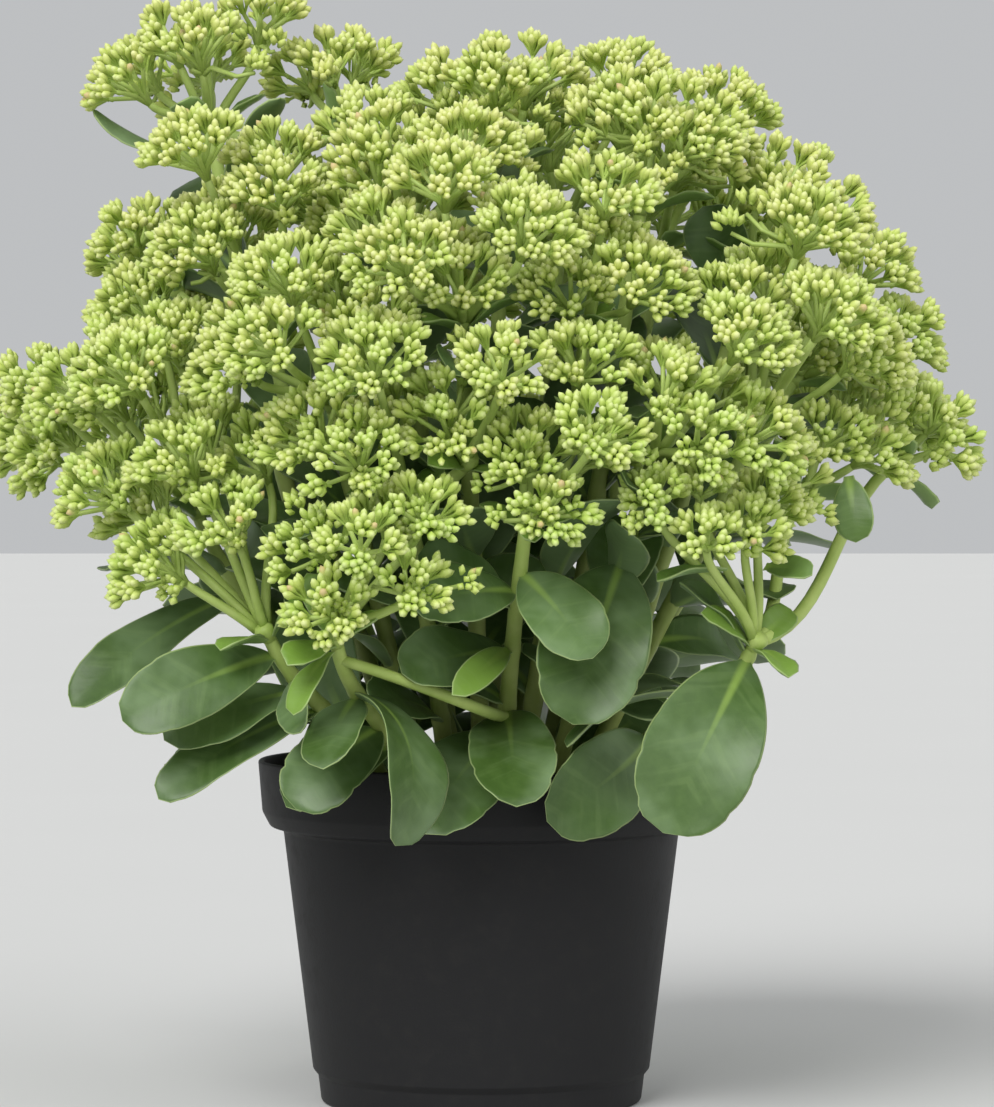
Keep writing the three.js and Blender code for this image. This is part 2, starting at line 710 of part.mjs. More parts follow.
function showyLeaf(stem, [share, x, y, z, width, arch, lean], size) {
  const start = stem.curve.getPoint(share);
  const tip = start.clone().lerp(vector(x, y, z), size);
  const halfWidth = size * width;
  const along = stem.curve.getTangent(share);
  const outward = tip.clone().sub(start);
  outward.addScaledVector(along, -outward.dot(along)).normalize();
  const base = start.addScaledVector(outward, LEAF_START);
  const ahead = tip.clone().sub(base).normalize();
  const upward = along.applyAxisAngle(ahead, lean);
  const cut = { edge: SHOWY_EDGE, midrib: SHOWY_MIDRIB };
  return { base, tip, upward, halfWidth, arch, cup: 0.18, twist: 0.2, ...cut };
}

// ---- Assembly -------------------------------------------------------------------------------------------

const stems = STEMS.map((row) => {
  const stem = { lobes: planLobes(row), showy: row.showy ?? [], leaves: row.leaves };
  stem.hub = row.hub ? vector(...row.hub) : stem.lobes[0].hub;
  stem.lobes[0].hub = stem.hub;
  return stem;
});
placeRoots(stems);
for (const stem of stems) {
  stem.curve = stemCurve(stem);
  stem.route = stem.curve.getPoints(STEM_STEPS);
  placeTops(stem);
}
const cymules = placeCymules(stems);
for (const cymule of cymules) cymule.walls = wallsRound(cymule, cymules, stems);

const blackPlastic = new THREE.MeshStandardMaterial({ color: 0x1d1d1f, roughness: 0.5, metalness: 0 });
const compost = new THREE.MeshStandardMaterial({ color: 0x2b1f17, roughness: 0.95, metalness: 0 });
const leafGreen = new THREE.MeshStandardMaterial({ color: 0x5f8058, roughness: 0.5, metalness: 0 });
const budGreen = new THREE.MeshStandardMaterial({ color: 0xb4cc74, roughness: 0.6, metalness: 0 });

const pot = potSolid();
const soil = soilSolid(stems);
const leafy = stems.map(stalkSolid);
const heads = stems.map(headSolid);
const placed = [pot, soil, ...leafy, ...heads].map((solid) => ({ solid, box: solid.boundingBox() }));

// Whether a solid keeps clear of all the others, apart from the stalk it grows from.
function isClear(solid, own) {
  const box = solid.boundingBox();
  return placed.every((other, i) => {
    const { min, max } = other.box;
    if (i === own || [0, 1, 2].some((n) => min[n] > box.max[n] + 1 || max[n] < box.min[n] - 1)) return true;
    return solid.minGap(other.solid, 1) > LEAF_GAP;
  });
}

// Grows a leaf where the first of its choices has room. One that has none is left out.
function grow(s, choices) {
  const found = choices.map(leafSolid).find((solid) => isClear(solid, 2 + s));
  if (!found) return;
  placed.push({ solid: found, box: found.boundingBox() });
  leafy[s] = leafy[s].add(found);
}

// The leaves at the front come first, and the others find room among them.
stems.forEach((stem, s) => {
  for (const row of stem.showy) grow(s, SHOWY_SIZES.map((size) => showyLeaf(stem, row, size)));
});
stems.forEach((stem, s) => {
  for (let k = 0; k < stem.leaves; k++) grow(s, CHOICES.map((_, choice) => leafChoice(stem, s, k, choice)));
});

const plant = new THREE.Group();
plant.add(meshOf("pot", pot, blackPlastic));
plant.add(meshOf("soil", soil, compost));
stems.forEach((stem, s) => {
  const number = String(s + 1).padStart(2, "0");
  plant.add(meshOf(`leafy_stem_${number}`, leafy[s], leafGreen));
  plant.add(meshOf(`flower_head_${number}`, heads[s], budGreen));
});

export default plant;
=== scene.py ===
# The looks of a potted border stonecrop in bud: nursery pot, compost, leafy stems and domed heads of buds.
# Lengths are millimetres until a mesh is made, and -Y is the plant's front.

import math
from collections import namedtuple
from types import SimpleNamespace

import bmesh
import bpy
import numpy as np
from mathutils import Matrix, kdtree, noise


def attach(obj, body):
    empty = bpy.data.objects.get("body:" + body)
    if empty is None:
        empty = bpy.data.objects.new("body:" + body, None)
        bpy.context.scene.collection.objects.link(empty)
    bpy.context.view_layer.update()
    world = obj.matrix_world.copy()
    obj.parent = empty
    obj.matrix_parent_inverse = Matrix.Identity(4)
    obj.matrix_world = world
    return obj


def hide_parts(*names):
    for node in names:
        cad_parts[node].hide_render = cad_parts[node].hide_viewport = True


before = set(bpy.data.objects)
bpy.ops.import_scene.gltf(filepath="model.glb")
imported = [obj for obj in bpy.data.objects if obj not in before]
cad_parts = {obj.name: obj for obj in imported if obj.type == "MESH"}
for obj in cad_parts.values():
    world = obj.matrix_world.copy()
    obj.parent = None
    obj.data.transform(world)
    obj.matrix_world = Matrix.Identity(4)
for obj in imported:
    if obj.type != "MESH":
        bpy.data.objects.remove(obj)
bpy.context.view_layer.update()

# ---- The nursery pot -------------------------------------------------------------------------------------
# The pot is one blow-moulded shell of black polyethylene with a satin skin: a deep band below the rim, a
# tapered body, and a step above a foot whose floor has a ring of drain holes.

# From the middle of the floor up the outer side and down the inner one: [radius, height, rounding].
POT_PROFILE = [
    (6, 0, 0), (42, 0, 0.8), (43.5, 1.8, 0.8), (54.5, 1.8, 0.8), (56, 0, 0.8), (61, 0, 1.4),
    (62.2, 10, 1.2), (64.2, 12.5, 1.6), (75.4, 103.5, 2.0), (80.5, 105, 2.0), (83.4, 110.5, 3.0),
    (85, 130, 1.0), (82.8, 130, 0.9), (81.9, 111, 2.0), (74, 105, 1.5), (62.4, 12, 1.5), (60.2, 3.2, 1.5),
    (6, 3.2, 0),
]
POT_SIDES = 112
CORNER_STEPS = 4
CORNER_LIMIT = 0.45
DRAIN_COUNT = 8
DRAIN_RADIUS = 4.5
DRAIN_RING = 49
DRAIN_SIDES = 20
DRAIN_DEPTH = 20
MILLIMETRE = 0.001


class Flow:
    """An output of a node in a finish. Arithmetic on it adds Math nodes."""

    def __init__(self, finish, socket):
        self.finish = finish
        self.socket = socket

    def maths(self, operation, first, second):
        return self.finish.node("Math", {"operation": operation}, {0: first, 1: second})

    def __add__(self, other):
        return self.maths("ADD", self, other)

    def __radd__(self, other):
        return self.maths("ADD", other, self)

    def __sub__(self, other):
        return self.maths("SUBTRACT", self, other)

    def __rsub__(self, other):
        return self.maths("SUBTRACT", other, self)

    def __mul__(self, other):
        return self.maths("MULTIPLY", self, other)

    def __rmul__(self, other):
        return self.maths("MULTIPLY", other, self)

    def step(self, low, high):
        """From 0 where this is low to 1 where it is high, with soft ends."""
        sockets = {"Value": self, "From Min": low, "From Max": high}
        return self.finish.node("MapRange", {"interpolation_type": "SMOOTHSTEP"}, sockets)

    def mix(self, first, second):
        """The first colour where this is 0, and the second where it is 1."""
        return self.finish.node("Mix", {"data_type": "RGBA"}, {0: self, 6: first, 7: second}, output=2)


class Finish:
    """A material built round one Principled shader."""

    def __init__(self, name, **sockets):
        self.material = bpy.data.materials.new(name)
        self.material.use_nodes = True
        self.tree = self.material.node_tree
        self.shader = self.tree.nodes["Principled BSDF"]
        self.set(**sockets)

    def feed(self, socket, value):
        if isinstance(value, Flow):
            self.tree.links.new(value.socket, socket)
        else:
            socket.default_value = value

    def set(self, **sockets):
        """Fills sockets of the shader, whose names have an underline for each space."""
        for name, value in sockets.items():
            self.feed(self.shader.inputs[name.replace("_", " ")], value)

    def node(self, kind, settings=None, sockets=None, output=0):
        made = self.tree.nodes.new("ShaderNode" + kind)
        for name, value in (settings or {}).items():
            setattr(made, name, value)
        for key, value in (sockets or {}).items():
            self.feed(made.inputs[key], value)
        return Flow(self, made.outputs[output])

    def reading(self, name):
        """The number that a mesh keeps at each of its points under that name."""
        return self.node("Attribute", {"attribute_name": name}, output=2)

    def grain(self, scale, detail=2.0, rough=0.5):
        place = self.node("TexCoord", output="Object")
        sockets = {"Vector": place, "Scale": scale, "Detail": detail, "Roughness": rough}
        return self.node("TexNoise", {}, sockets)

    def bump(self, strength, distance, height):
        return self.node("Bump", {}, {"Strength": strength, "Distance": distance, "Height": height})


def colour(red, green, blue):
    """A colour as 0 to 255 on a screen, in the linear light that the shader works in."""
    screen = (red / 255, green / 255, blue / 255)
    return (*(c / 12.92 if c <= 0.04045 else ((c + 0.055) / 1.055) ** 2.4 for c in screen), 1.0)


def make_piece(name, points, faces, finish, numbers=None):
    """A piece from its points, its faces grouped by their corners, and the numbers kept at its points."""
    mesh = bpy.data.meshes.new(name)
    points = np.asarray(points, float)
    groups = [np.asarray(group, np.int32) for group in faces]
    sizes = np.concatenate([np.full(len(group), group.shape[1]) for group in groups])
    corners = np.concatenate([group.ravel() for group in groups])
    mesh.vertices.add(len(points))
    mesh.vertices.foreach_set("co", (points * MILLIMETRE).astype(np.float32).ravel())
    mesh.loops.add(len(corners))
    mesh.loops.foreach_set("vertex_index", corners)
    mesh.polygons.add(len(sizes))
    mesh.polygons.foreach_set("loop_start", (np.cumsum(sizes) - sizes).astype(np.int32))
    mesh.polygons.foreach_set("use_smooth", np.ones(len(sizes), bool))
    for key, values in (numbers or {}).items():
        kept = mesh.attributes.new(key, "FLOAT", "POINT")
        kept.data.foreach_set("value", np.asarray(values, np.float32))
    mesh.update(calc_edges=True)
    made = bpy.data.objects.new(name, mesh)
    made.data.materials.append(finish.material)
    bpy.context.scene.collection.objects.link(made)
    return made


def settle(made, slot, *nodes):
    """Puts a finished piece on the plant's one body and hides the solids that it takes the place of. The
    whole plant stands still as one body.
    """
    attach(made, "root")
    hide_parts(*nodes)


def norms(vectors):
    """The length of each vector."""
    return np.linalg.norm(vectors, axis=-1)


def unit(vectors):
    return vectors / np.linalg.norm(vectors, axis=-1, keepdims=True)


def rounded(profile):
    """The points of a profile whose corners are rounded to the radius that each row gives last."""
    line = []
    for i, (x, z, radius) in enumerate(profile):
        here = np.array([x, z], float)
        if not radius:
            line.append(here)
            continue
        arms = [np.array(profile[j][:2]) - here for j in (i - 1, i + 1)]
        lengths = [np.linalg.norm(arm) for arm in arms]
        before, after = [arm / length for arm, length in zip(arms, lengths)]
        half = math.acos(float(np.clip(before @ after, -1, 1))) / 2
        cut = min(radius / math.tan(half), CORNER_LIMIT * min(lengths))
        middle = here + unit(before + after) * cut / math.cos(half)
        first, last = here + before * cut - middle, here + after * cut - middle
        swing = math.pi - 2 * half
        for k in range(CORNER_STEPS + 1):
            share = k / CORNER_STEPS
            spoke = math.sin((1 - share) * swing) * first + math.sin(share * swing) * last
            line.append(middle + spoke / math.sin(swing))
    return np.array(line)


def skin_faces(sides, rings):
    """Faces over a number of rings of points, with a cap on the first ring and one on the last."""
    ring = np.arange(sides)
    after = (ring + 1) % sides
    last = (rings - 1) * sides
    band = np.stack([ring, after, sides + after, sides + ring], 1)
    bands = [band + k for k in range(0, last, sides)]
    return [np.concatenate(bands), np.stack([ring[::-1], ring + last])]


def turned(line, sides):
    """Points and faces of a line of [radius, height] turned about the Z axis, with both its ends closed."""
    angles = np.arange(sides) * 2 * math.pi / sides
    wide, deep = (np.outer(line[:, 0], way(angles)) for way in (np.cos, np.sin))
    points = np.stack([wide, deep, np.repeat(line[:, 1:], sides, axis=1)], axis=-1)
    return points.reshape(-1, 3), skin_faces(sides, len(line))


plastic = Finish("black_plastic", IOR=1.25)
flow_marks = plastic.grain(14, 2.0)
skin = plastic.grain(900, 2.0, 0.6)
dust = plastic.grain(120, 4.0, 0.65).step(0.45, 0.8)
plastic.set(
    Base_Color=(0.3 * dust).mix(colour(35, 35, 36), colour(48, 47, 45)),
    Roughness=0.5 + 0.08 * flow_marks + 0.1 * dust,
    Normal=plastic.bump(0.25, 0.0002, skin + 2.0 * flow_marks),
)
pot_points, pot_faces = turned(rounded(POT_PROFILE), POT_SIDES)
pot = make_piece("nursery_pot", pot_points, [faces[:, ::-1] for faces in pot_faces], plastic)
drains = bmesh.new()
radius, depth, ring = (size * MILLIMETRE for size in (DRAIN_RADIUS, DRAIN_DEPTH, DRAIN_RING))
for k in range(DRAIN_COUNT):
    bearing = 2 * math.pi * (k + 0.5) / DRAIN_COUNT
    hole = bmesh.ops.create_cone(
        drains, cap_ends=True, segments=DRAIN_SIDES, radius1=radius, radius2=radius, depth=depth
    )
    place = (ring * math.cos(bearing), ring * math.sin(bearing), 0)
    bmesh.ops.translate(drains, verts=hole["verts"], vec=place)
cutter_mesh = bpy.data.meshes.new("drains")
drains.to_mesh(cutter_mesh)
drains.free()
cutter = bpy.data.objects.new("drains", cutter_mesh)
bpy.context.scene.collection.objects.link(cutter)
cut = pot.modifiers.new("drains", "BOOLEAN")
cut.object = cutter
cut.operation = "DIFFERENCE"
cut.solver = "EXACT"
pot.data = bpy.data.meshes.new_from_object(pot.evaluated_get(bpy.context.evaluated_depsgraph_get()))
pot.modifiers.clear()
bpy.data.objects.remove(cutter)
settle(pot, "pot", "pot")

# ---- The compost -----------------------------------------------------------------------------------------
# Damp peaty compost fills the pot to a finger's width below its rim, a little mounded, with coarse crumbs and
# bits of bark on top. The stems stand in it.

SOIL_TOP = 117
SOIL_WALL = np.array([(60, 3.8), (62.1, 12.6), (73.4, 105.4), (80.6, 111.6)])
SOIL_REACH = 81
SOIL_EDGE = 112.6
SOIL_RINGS = 34
SOIL_SIDES = 120
SOIL_MOUND = 3.4
SOIL_DIP = 0.6
LUMP_HEIGHT = 1.1
CLOD_HEIGHT = 1.6
CRUMB_COUNT = 420
CRUMB_REACH = 79
CRUMB_SIZES = (0.5, 1.6)
CRUMB_SHAPES = [(0.8, 1.9), (0.7, 1.2), (0.4, 0.8)]
CRUMB_ROUGHNESS = (0.75, 1.2)
CRUMB_RISE = 0.2


def soil_height(x, y):
    """The mounded surface with its hollows and clods, at one place."""
    mound = SOIL_TOP - SOIL_DIP - SOIL_MOUND * (math.hypot(x, y) / SOIL_REACH) ** 4
    lumps = noise.fractal((x * 0.09, y * 0.09, 0.0), 1.0, 2.1, 4)
    small_clods = abs(noise.noise((x * 0.42, y * 0.42, 3.0)))
    return mound + LUMP_HEIGHT * lumps + CLOD_HEIGHT * small_clods - SOIL_DIP


compost = Finish("compost", IOR=1.4)
peat = compost.grain(420, 5.0, 0.7)
clods = compost.grain(110, 3.0, 0.6)
fibre = peat.step(0.6, 0.75) * clods.step(0.4, 0.6)
compost.set(
    Base_Color=fibre.mix(clods.mix(colour(26, 18, 13), colour(66, 49, 36)), colour(120, 92, 62)),
    Roughness=0.78 + 0.2 * peat,
    Normal=compost.bump(0.9, 0.0012, peat + clods),
)
surface = []
for k in range(SOIL_RINGS):
    reach = SOIL_REACH * (1 - k / SOIL_RINGS)
    for bearing in np.arange(SOIL_SIDES) * 2 * math.pi / SOIL_SIDES:
        x, y = reach * math.cos(bearing), reach * math.sin(bearing)
        surface.append((x, y, SOIL_EDGE if k == 0 else soil_height(x, y)))
soil_points = np.concatenate([turned(SOIL_WALL, SOIL_SIDES)[0], surface])
soil_faces = skin_faces(SOIL_SIDES, len(soil_points) // SOIL_SIDES)
settle(make_piece("compost", soil_points, soil_faces, compost), "soil", "soil")

rng = np.random.default_rng(5)
lump = bmesh.new()
bmesh.ops.create_icosphere(lump, subdivisions=1, radius=1.0)
lump_points = np.array([v.co for v in lump.verts])
lump_faces = np.array([[v.index for v in f.verts] for f in lump.faces])
lump.free()
crumb_points, crumb_faces = [], []
for k in range(CRUMB_COUNT):
    reach, bearing = CRUMB_REACH * math.sqrt(rng.uniform()), rng.uniform(0, 2 * math.pi)
    x, y = reach * math.cos(bearing), reach * math.sin(bearing)
    size = rng.uniform(*CRUMB_SIZES) * np.array([rng.uniform(*span) for span in CRUMB_SHAPES])
    turn = rng.uniform(0, math.pi)
    wide, deep, high = (lump_points * rng.uniform(*CRUMB_ROUGHNESS, (len(lump_points), 1)) * size).T
    cosine, sine = math.cos(turn), math.sin(turn)
    spun = np.stack([wide * cosine - deep * sine, wide * sine + deep * cosine, high], 1)
    crumb_points.append(spun + (x, y, soil_height(x, y) + CRUMB_RISE))
    crumb_faces.append(lump_faces + k * len(lump_points))
crumbs = make_piece("crumbs", np.concatenate(crumb_points), [np.concatenate(crumb_faces)], compost)
settle(crumbs, "soil", "soil")

# ---- The stems -------------------------------------------------------------------------------------------
# Smooth fleshy stems of pale green, a pencil's width at the foot, that stand close together in the compost
# and lean out to their heads. A slight swelling marks each place where a leaf grows.

# Each stem: how many plain leaves it has, and the lobes of its head as [x, y, z, radius, cymules, and their
# radius]. Then the hub at its top, where that isn't plainly below the first lobe, and the leaves that stand
# out at the front, as [share of the stem's length, tip x, y, z, half width, arch, lean].
STEMS = [
    [
        2, [[-114, -86, 240, 37, 7]], [-76, -92, 179],
        [
            [0.93, -128, -112, 151, 14, 0.7, -0.8], [0.8, -64, -116, 147, 7, 0.5, 0.2],
            [0.6, -116, -100, 122, 11, 0.7, -0.2],
        ],
    ],
    [
        2, [[-37, -138, 221, 25, 6, 11.5]], [-51, -116, 178],
        [[0.74, -30, -132, 108, 18, 1.8, -1.2], [0.5, -66, -108, 119, 15, 0.9, -0.2]],
    ],
    [
        2, [[33, -128, 252, 25, 5, 13], [44, -118, 278, 14, 1]], [16, -108, 218],
        [
            [0.36, 13, -122, 121, 16, 0.7, 0.1], [0.28, -20, -106, 110, 18, 0.8, 0],
            [0.85, 40, -126, 174, 14, 0.6, 0.3], [0.78, -24, -124, 192, 13, 0.6, -0.3],
            [0.56, -28, -114, 168, 14, 0.5, -0.2],
        ],
    ],
    [
        0, [[90, -118, 235, 31, 5, 10], [143, -62, 251, 17, 2, 12.5], [178, -40, 259, 16, 3, 11]],
        [98, -95, 176],
        [
            [0.95, 65, -126, 112, 21, 0.8, 0.1], [0.42, 24, -100, 114, 17, 0.8, -0.2],
            [0.97, 72, -92, 200, 13, 0.6, 0.4], [0.7, 22, -104, 138, 9, 1.2, 1.3],
        ],
    ],
    [
        3, [[-47, -122, 264, 27, 4], [-4, -128, 268, 20, 3, 13.5]], [-26, -86, 228],
        [[0.3, -44, -92, 158, 15, 0.6, -0.4], [0.62, -54, -104, 200, 13, 0.6, -0.3]],
    ],
    [3, [[79, -114, 271, 30, 6]], None, [[0.7, 33, -117, 150, 20, 0.8, 0.1]]],
    [
        4, [[-136, -52, 288, 32, 6], [-168, -4, 262, 24, 4, 12.5]], [-106, -22, 222],
        [[0.72, -151, -58, 153, 12, 0.6, -0.7]],
    ],
    [4, [[-69, -104, 297, 33, 6]], None, [[0.35, -70, -88, 190, 14, 0.6, -0.3]]],
    [4, [[-8, -108, 328, 31, 7]], None, [[0.5, -8, -104, 226, 14, 0.6, 0.2]]],
    [3, [[47, -97, 324, 28, 4]], None, [[0.45, 50, -100, 230, 14, 0.6, 0.2]]],
    [
        3, [[123, -78, 306, 28, 6], [146, -18, 305, 26, 5]], [97, -48, 247],
        [[0.3, 88, -82, 160, 16, 0.7, 0.3], [0.7, 132, -70, 222, 14, 0.6, 0.3]],
    ],
    [5, [[-93, -41, 347, 32, 6], [-135, 21, 333, 15, 3, 12.5]], [-78, -22, 284]],
    [4, [[-34, -51, 360, 35, 6, 16]]],
    [4, [[9, -12, 394, 31, 6, 16]]],
    [4, [[72, -35, 377, 32, 6, 16]]],
    [4, [[123, -6, 349, 32, 6, 16]]],
    [
        3, [[-119, 32, 408, 38, 7, 14], [-61, 38, 403, 18, 3, 12.5]], [-104, 26, 367],
        [[0.97, -149, 14, 378, 8, 0.7, 2.7], [0.86, -76, -8, 381, 10, 0.5, 0.2]],
    ],
    [4, [[-41, 64, 354, 30, 5, 16.5]]],
    [4, [[38, 65, 377, 36, 6, 16.5]]],
    [4, [[84, 57, 362, 32, 6, 16.5]]],
    [5, [[-117, 83, 302, 36, 7, 16.5], [-160, 52, 262, 18, 3]], [-96, 62, 234]],
    [4, [[-36, 118, 318, 34, 6, 16.5]]],
    [4, [[42, 120, 318, 34, 6, 16.5]]],
    [5, [[119, 91, 285, 35, 6, 16.5], [161, 37, 268, 17, 3]], [98, 64, 230]],
    [4, [[-84, 136, 248, 34, 5, 16.5]]],
    [5, [[4, 154, 254, 34, 6, 16.5]]],
    [4, [[86, 138, 242, 34, 5, 16.5]]],
]
HEART = np.array([0.0, 0.0, 140.0])
ROOT_SHARE = 0.33
ROOT_SPACING = 12.5
ROOT_ROUNDS = 60
ROOT_SPLAY = 0.012
PLANTING_DEPTH = 10
STEM_FOOT_RADIUS = 3.7
STEM_TOP_RADIUS = 2.5
STEM_SIDES = 12
STEM_STEPS = 5
STEM_RINGS = 31
FOOT_PULL = 1.15
TOP_PULL = 0.8
TOP_LIFT = 0.9
HUB_LENGTH = 6
HUB_DEPTH = 12
CYMULE_RADIUS = 15
GAP = 0.3


def draw(low, high, a, b=0, c=0):
    """A repeatable draw between low and high, the same for the same three whole numbers."""
    wave = math.sin(a * 12.9898 + b * 78.233 + c * 37.719) * 43758.5453
    return low + (high - low) * (wave - math.floor(wave))


def basis(direction):
    """Two directions square to a given one and to each other."""
    lean = (0.0, 1.0, 0.0) if abs(direction[2]) > 0.95 else (0.0, 0.0, 1.0)
    right = unit(np.cross(lean, direction))
    return right, unit(np.cross(direction, right))


def around(direction, angle):
    """The direction at an angle in the plane square to a given one."""
    right, up = basis(direction)
    return right * math.cos(angle) + up * math.sin(angle)


def bend_point(bend, share):
    """The point at a share of the way along a curve with two ends and two handles."""
    back = 1 - share
    weights = (back**3, 3 * back * back * share, 3 * back * share * share, share**3)
    return sum(weight * point for weight, point in zip(weights, bend))


def bend_heading(bend, share):
    """The way that the curve goes at that point."""
    step = 0.0001
    return unit(bend_point(bend, min(share + step, 1)) - bend_point(bend, max(share - step, 0)))


def curve(bend, count):
    """That many points along the curve, from end to end."""
    return [bend_point(bend, share) for share in np.linspace(0, 1, count)]


def plan_stem(leaves, lobes, hub=None, showy=()):
    """A stem, with its hub and the way each lobe of its head faces: out from the heart of the plant."""
    stem = SimpleNamespace(lobes=[], leaves=leaves, showy=showy)
    for x, y, z, radius, count, *size in lobes:
        centre = np.array([x, y, z], float)
        facing = unit(centre - HEART)
        lobe = SimpleNamespace(centre=centre, facing=facing, radius=radius, count=count)
        lobe.hub = centre - facing * (radius + HUB_DEPTH)
        lobe.cymule_radius = size[0] if size else CYMULE_RADIUS
        stem.lobes.append(lobe)
    if hub:
        stem.lobes[0].hub = np.array(hub, float)
    stem.hub = stem.lobes[0].hub
    return stem


def place_roots(stems):
    """The feet of the stems: the layout of their hubs drawn in, then pushed apart until each has its room."""
    for stem in stems:
        stem.root = stem.hub[:2] * ROOT_SHARE
    for _ in range(ROOT_ROUNDS):
        for i, first in enumerate(stems):
            for second in stems[i + 1 :]:
                apart = second.root - first.root
                length = math.hypot(*apart)
                if length < ROOT_SPACING:
                    apart = apart / length * (ROOT_SPACING - length) / 2
                    second.root = second.root + apart
                    first.root = first.root - apart


def stem_bend(stem):
    """A stem climbs out of the compost and leans out to its hub, where it points the way its head faces."""
    foot = np.array([*stem.root, SOIL_TOP - PLANTING_DEPTH])
    rise = np.linalg.norm(stem.hub - foot) / 3
    start = foot + unit(np.array([*(ROOT_SPLAY * stem.root), 1.0])) * rise * FOOT_PULL
    heading = unit(stem.lobes[0].facing + (0, 0, TOP_LIFT))
    return foot, start, stem.hub - heading * rise * TOP_PULL, stem.hub


def place_tops(stem):
    """Where the rays leave from: one place over the stem's own top, and one over each side branch."""
    before, end = stem.route[-2:]
    along = unit(end - before)
    main = stem.lobes[0]
    main.top = SimpleNamespace(centre=end + along * (HUB_LENGTH + GAP), along=along)
    for lobe in stem.lobes[1:]:
        across = unit(lobe.hub - main.top.centre)
        lobe.top = SimpleNamespace(centre=lobe.hub, along=unit(across + lobe.facing))


def tube(line, radii, sides, height=1.0):
    """A round bar along a smooth line whose rings don't twist. height is 0 at a stem's foot, 1 at its top."""
    line = np.asarray(line, float)
    headings = unit(np.gradient(line, axis=0))
    right = basis(headings[0])[0]
    angles = np.arange(sides) * 2 * math.pi / sides
    rings = []
    for point, heading, radius in zip(line, headings, radii):
        right = unit(right - heading * (right @ heading))
        up = np.cross(heading, right)
        rings.append(point + radius * (np.outer(np.cos(angles), right) + np.outer(np.sin(angles), up)))
    heights = np.repeat(np.broadcast_to(height, len(line)), sides)
    return np.concatenate(rings), skin_faces(sides, len(line)), {"height": heights}


def bar(bend, steps, thick, thin, sides, onward=()):
    """A bar along a curve and on to other points, whose radius goes evenly from end to end."""
    line = [*curve(bend, steps), *onward]
    return tube(line, np.linspace(thick, thin, len(line)), sides)


class Heap:
    """Collects the points, faces and numbers of the many small parts of one piece."""

    def __init__(self):
        self.points, self.faces, self.numbers, self.count = [], {}, {}, 0

    def add(self, points, faces, numbers):
        self.points.append(points)
        for group in faces:
            self.faces.setdefault(group.shape[1], []).append(group + self.count)
        for key, values in numbers.items():
            self.numbers.setdefault(key, []).append(np.broadcast_to(np.asarray(values, float), len(points)))
        self.count += len(points)

    def piece(self, name, finish):
        faces = [np.concatenate(groups) for groups in self.faces.values()]
        numbers = {key: np.concatenate(values) for key, values in self.numbers.items()}
        return make_piece(name, np.concatenate(self.points), faces, finish, numbers)


stem_green = Finish("stem_green", IOR=1.42)
height = stem_green.reading("height")
streak = stem_green.grain(160, 3.0)
shaded = height.mix(colour(132, 146, 74), colour(164, 188, 92))
lit = height.mix(colour(154, 166, 96), colour(190, 206, 124))
stem_green.set(
    Base_Color=(0.5 * streak + 0.2).step(0.2, 0.8).mix(shaded, lit),
    Roughness=0.42 + 0.16 * streak,
    Normal=stem_green.bump(0.2, 0.0003, stem_green.grain(500, 2.0)),
)
stems = [plan_stem(*row) for row in STEMS]
place_roots(stems)
for stem in stems:
    stem.bend = stem_bend(stem)
    stem.route = [bend_point(stem.bend, k / STEM_STEPS) for k in range(STEM_STEPS + 1)]
    place_tops(stem)

# ---- The leaves ------------------------------------------------------------------------------------------
# Flat fleshy leaves with a waxy grey-green bloom, obovate, blunt at the tip and faintly toothed beyond the
# middle, with a pale thin margin and a yellowish midrib near the base. They grow straight from the stem.
# The whitish patches of bloom on the leaves are partly real bloom and partly a painted sheen.

GOLDEN_ANGLE = math.pi * (3 - math.sqrt(5))
LEAVES_FROM = 0.22
LEAVES_OVER = 0.66
LEAF_LENGTH = 76
LEAF_SHORTENING = 30
LEAF_START = 1.4
LEAF_THICKNESS = 2.0
LEAF_STALK = 1.9
WIDEST = 0.62
TOOTH_DEPTH = 0.07
WAVE_HEIGHT = 0.07
TIP_MATCH = 0.05
SHOWY_SIZES = [1, 0.85, 0.7, 0.55]
# Where a leaf grows if its first place has no room: [turn round the stem, share of its size].
CHOICES = [
    [0, 1], [0.5, 1], [-0.5, 1], [0.25, 0.85], [-0.25, 0.85], [0.9, 0.9], [-0.9, 0.9], [0, 0.7],
    [0.6, 0.7], [-0.6, 0.7], [1.4, 0.7], [-1.4, 0.7], [2.2, 0.7], [-2.2, 0.7], [0, 0.55], [0.7, 0.55],
    [-0.7, 0.55], [1.5, 0.55], [-1.5, 0.55], [3.1, 0.6],
]
# Where the columns of points lie across a leaf, and how many rows of them it has along it.
FINE = np.array([-1, -0.94, -0.8, -0.55, -0.28, -0.08, 0, 0.08, 0.28, 0.55, 0.8, 0.94, 1])
MIDDLING = np.array([-1, -0.93, -0.72, -0.38, -0.09, 0.09, 0.38, 0.72, 0.93, 1])
PLAIN = np.array([-1, -0.85, -0.35, 0, 0.35, 0.85, 1])
SHOWY_ROWS, MIDDLING_ROWS, SMALL_ROWS, EXTRA_ROWS, BRACT_ROWS = 26, 16, 12, 11, 8
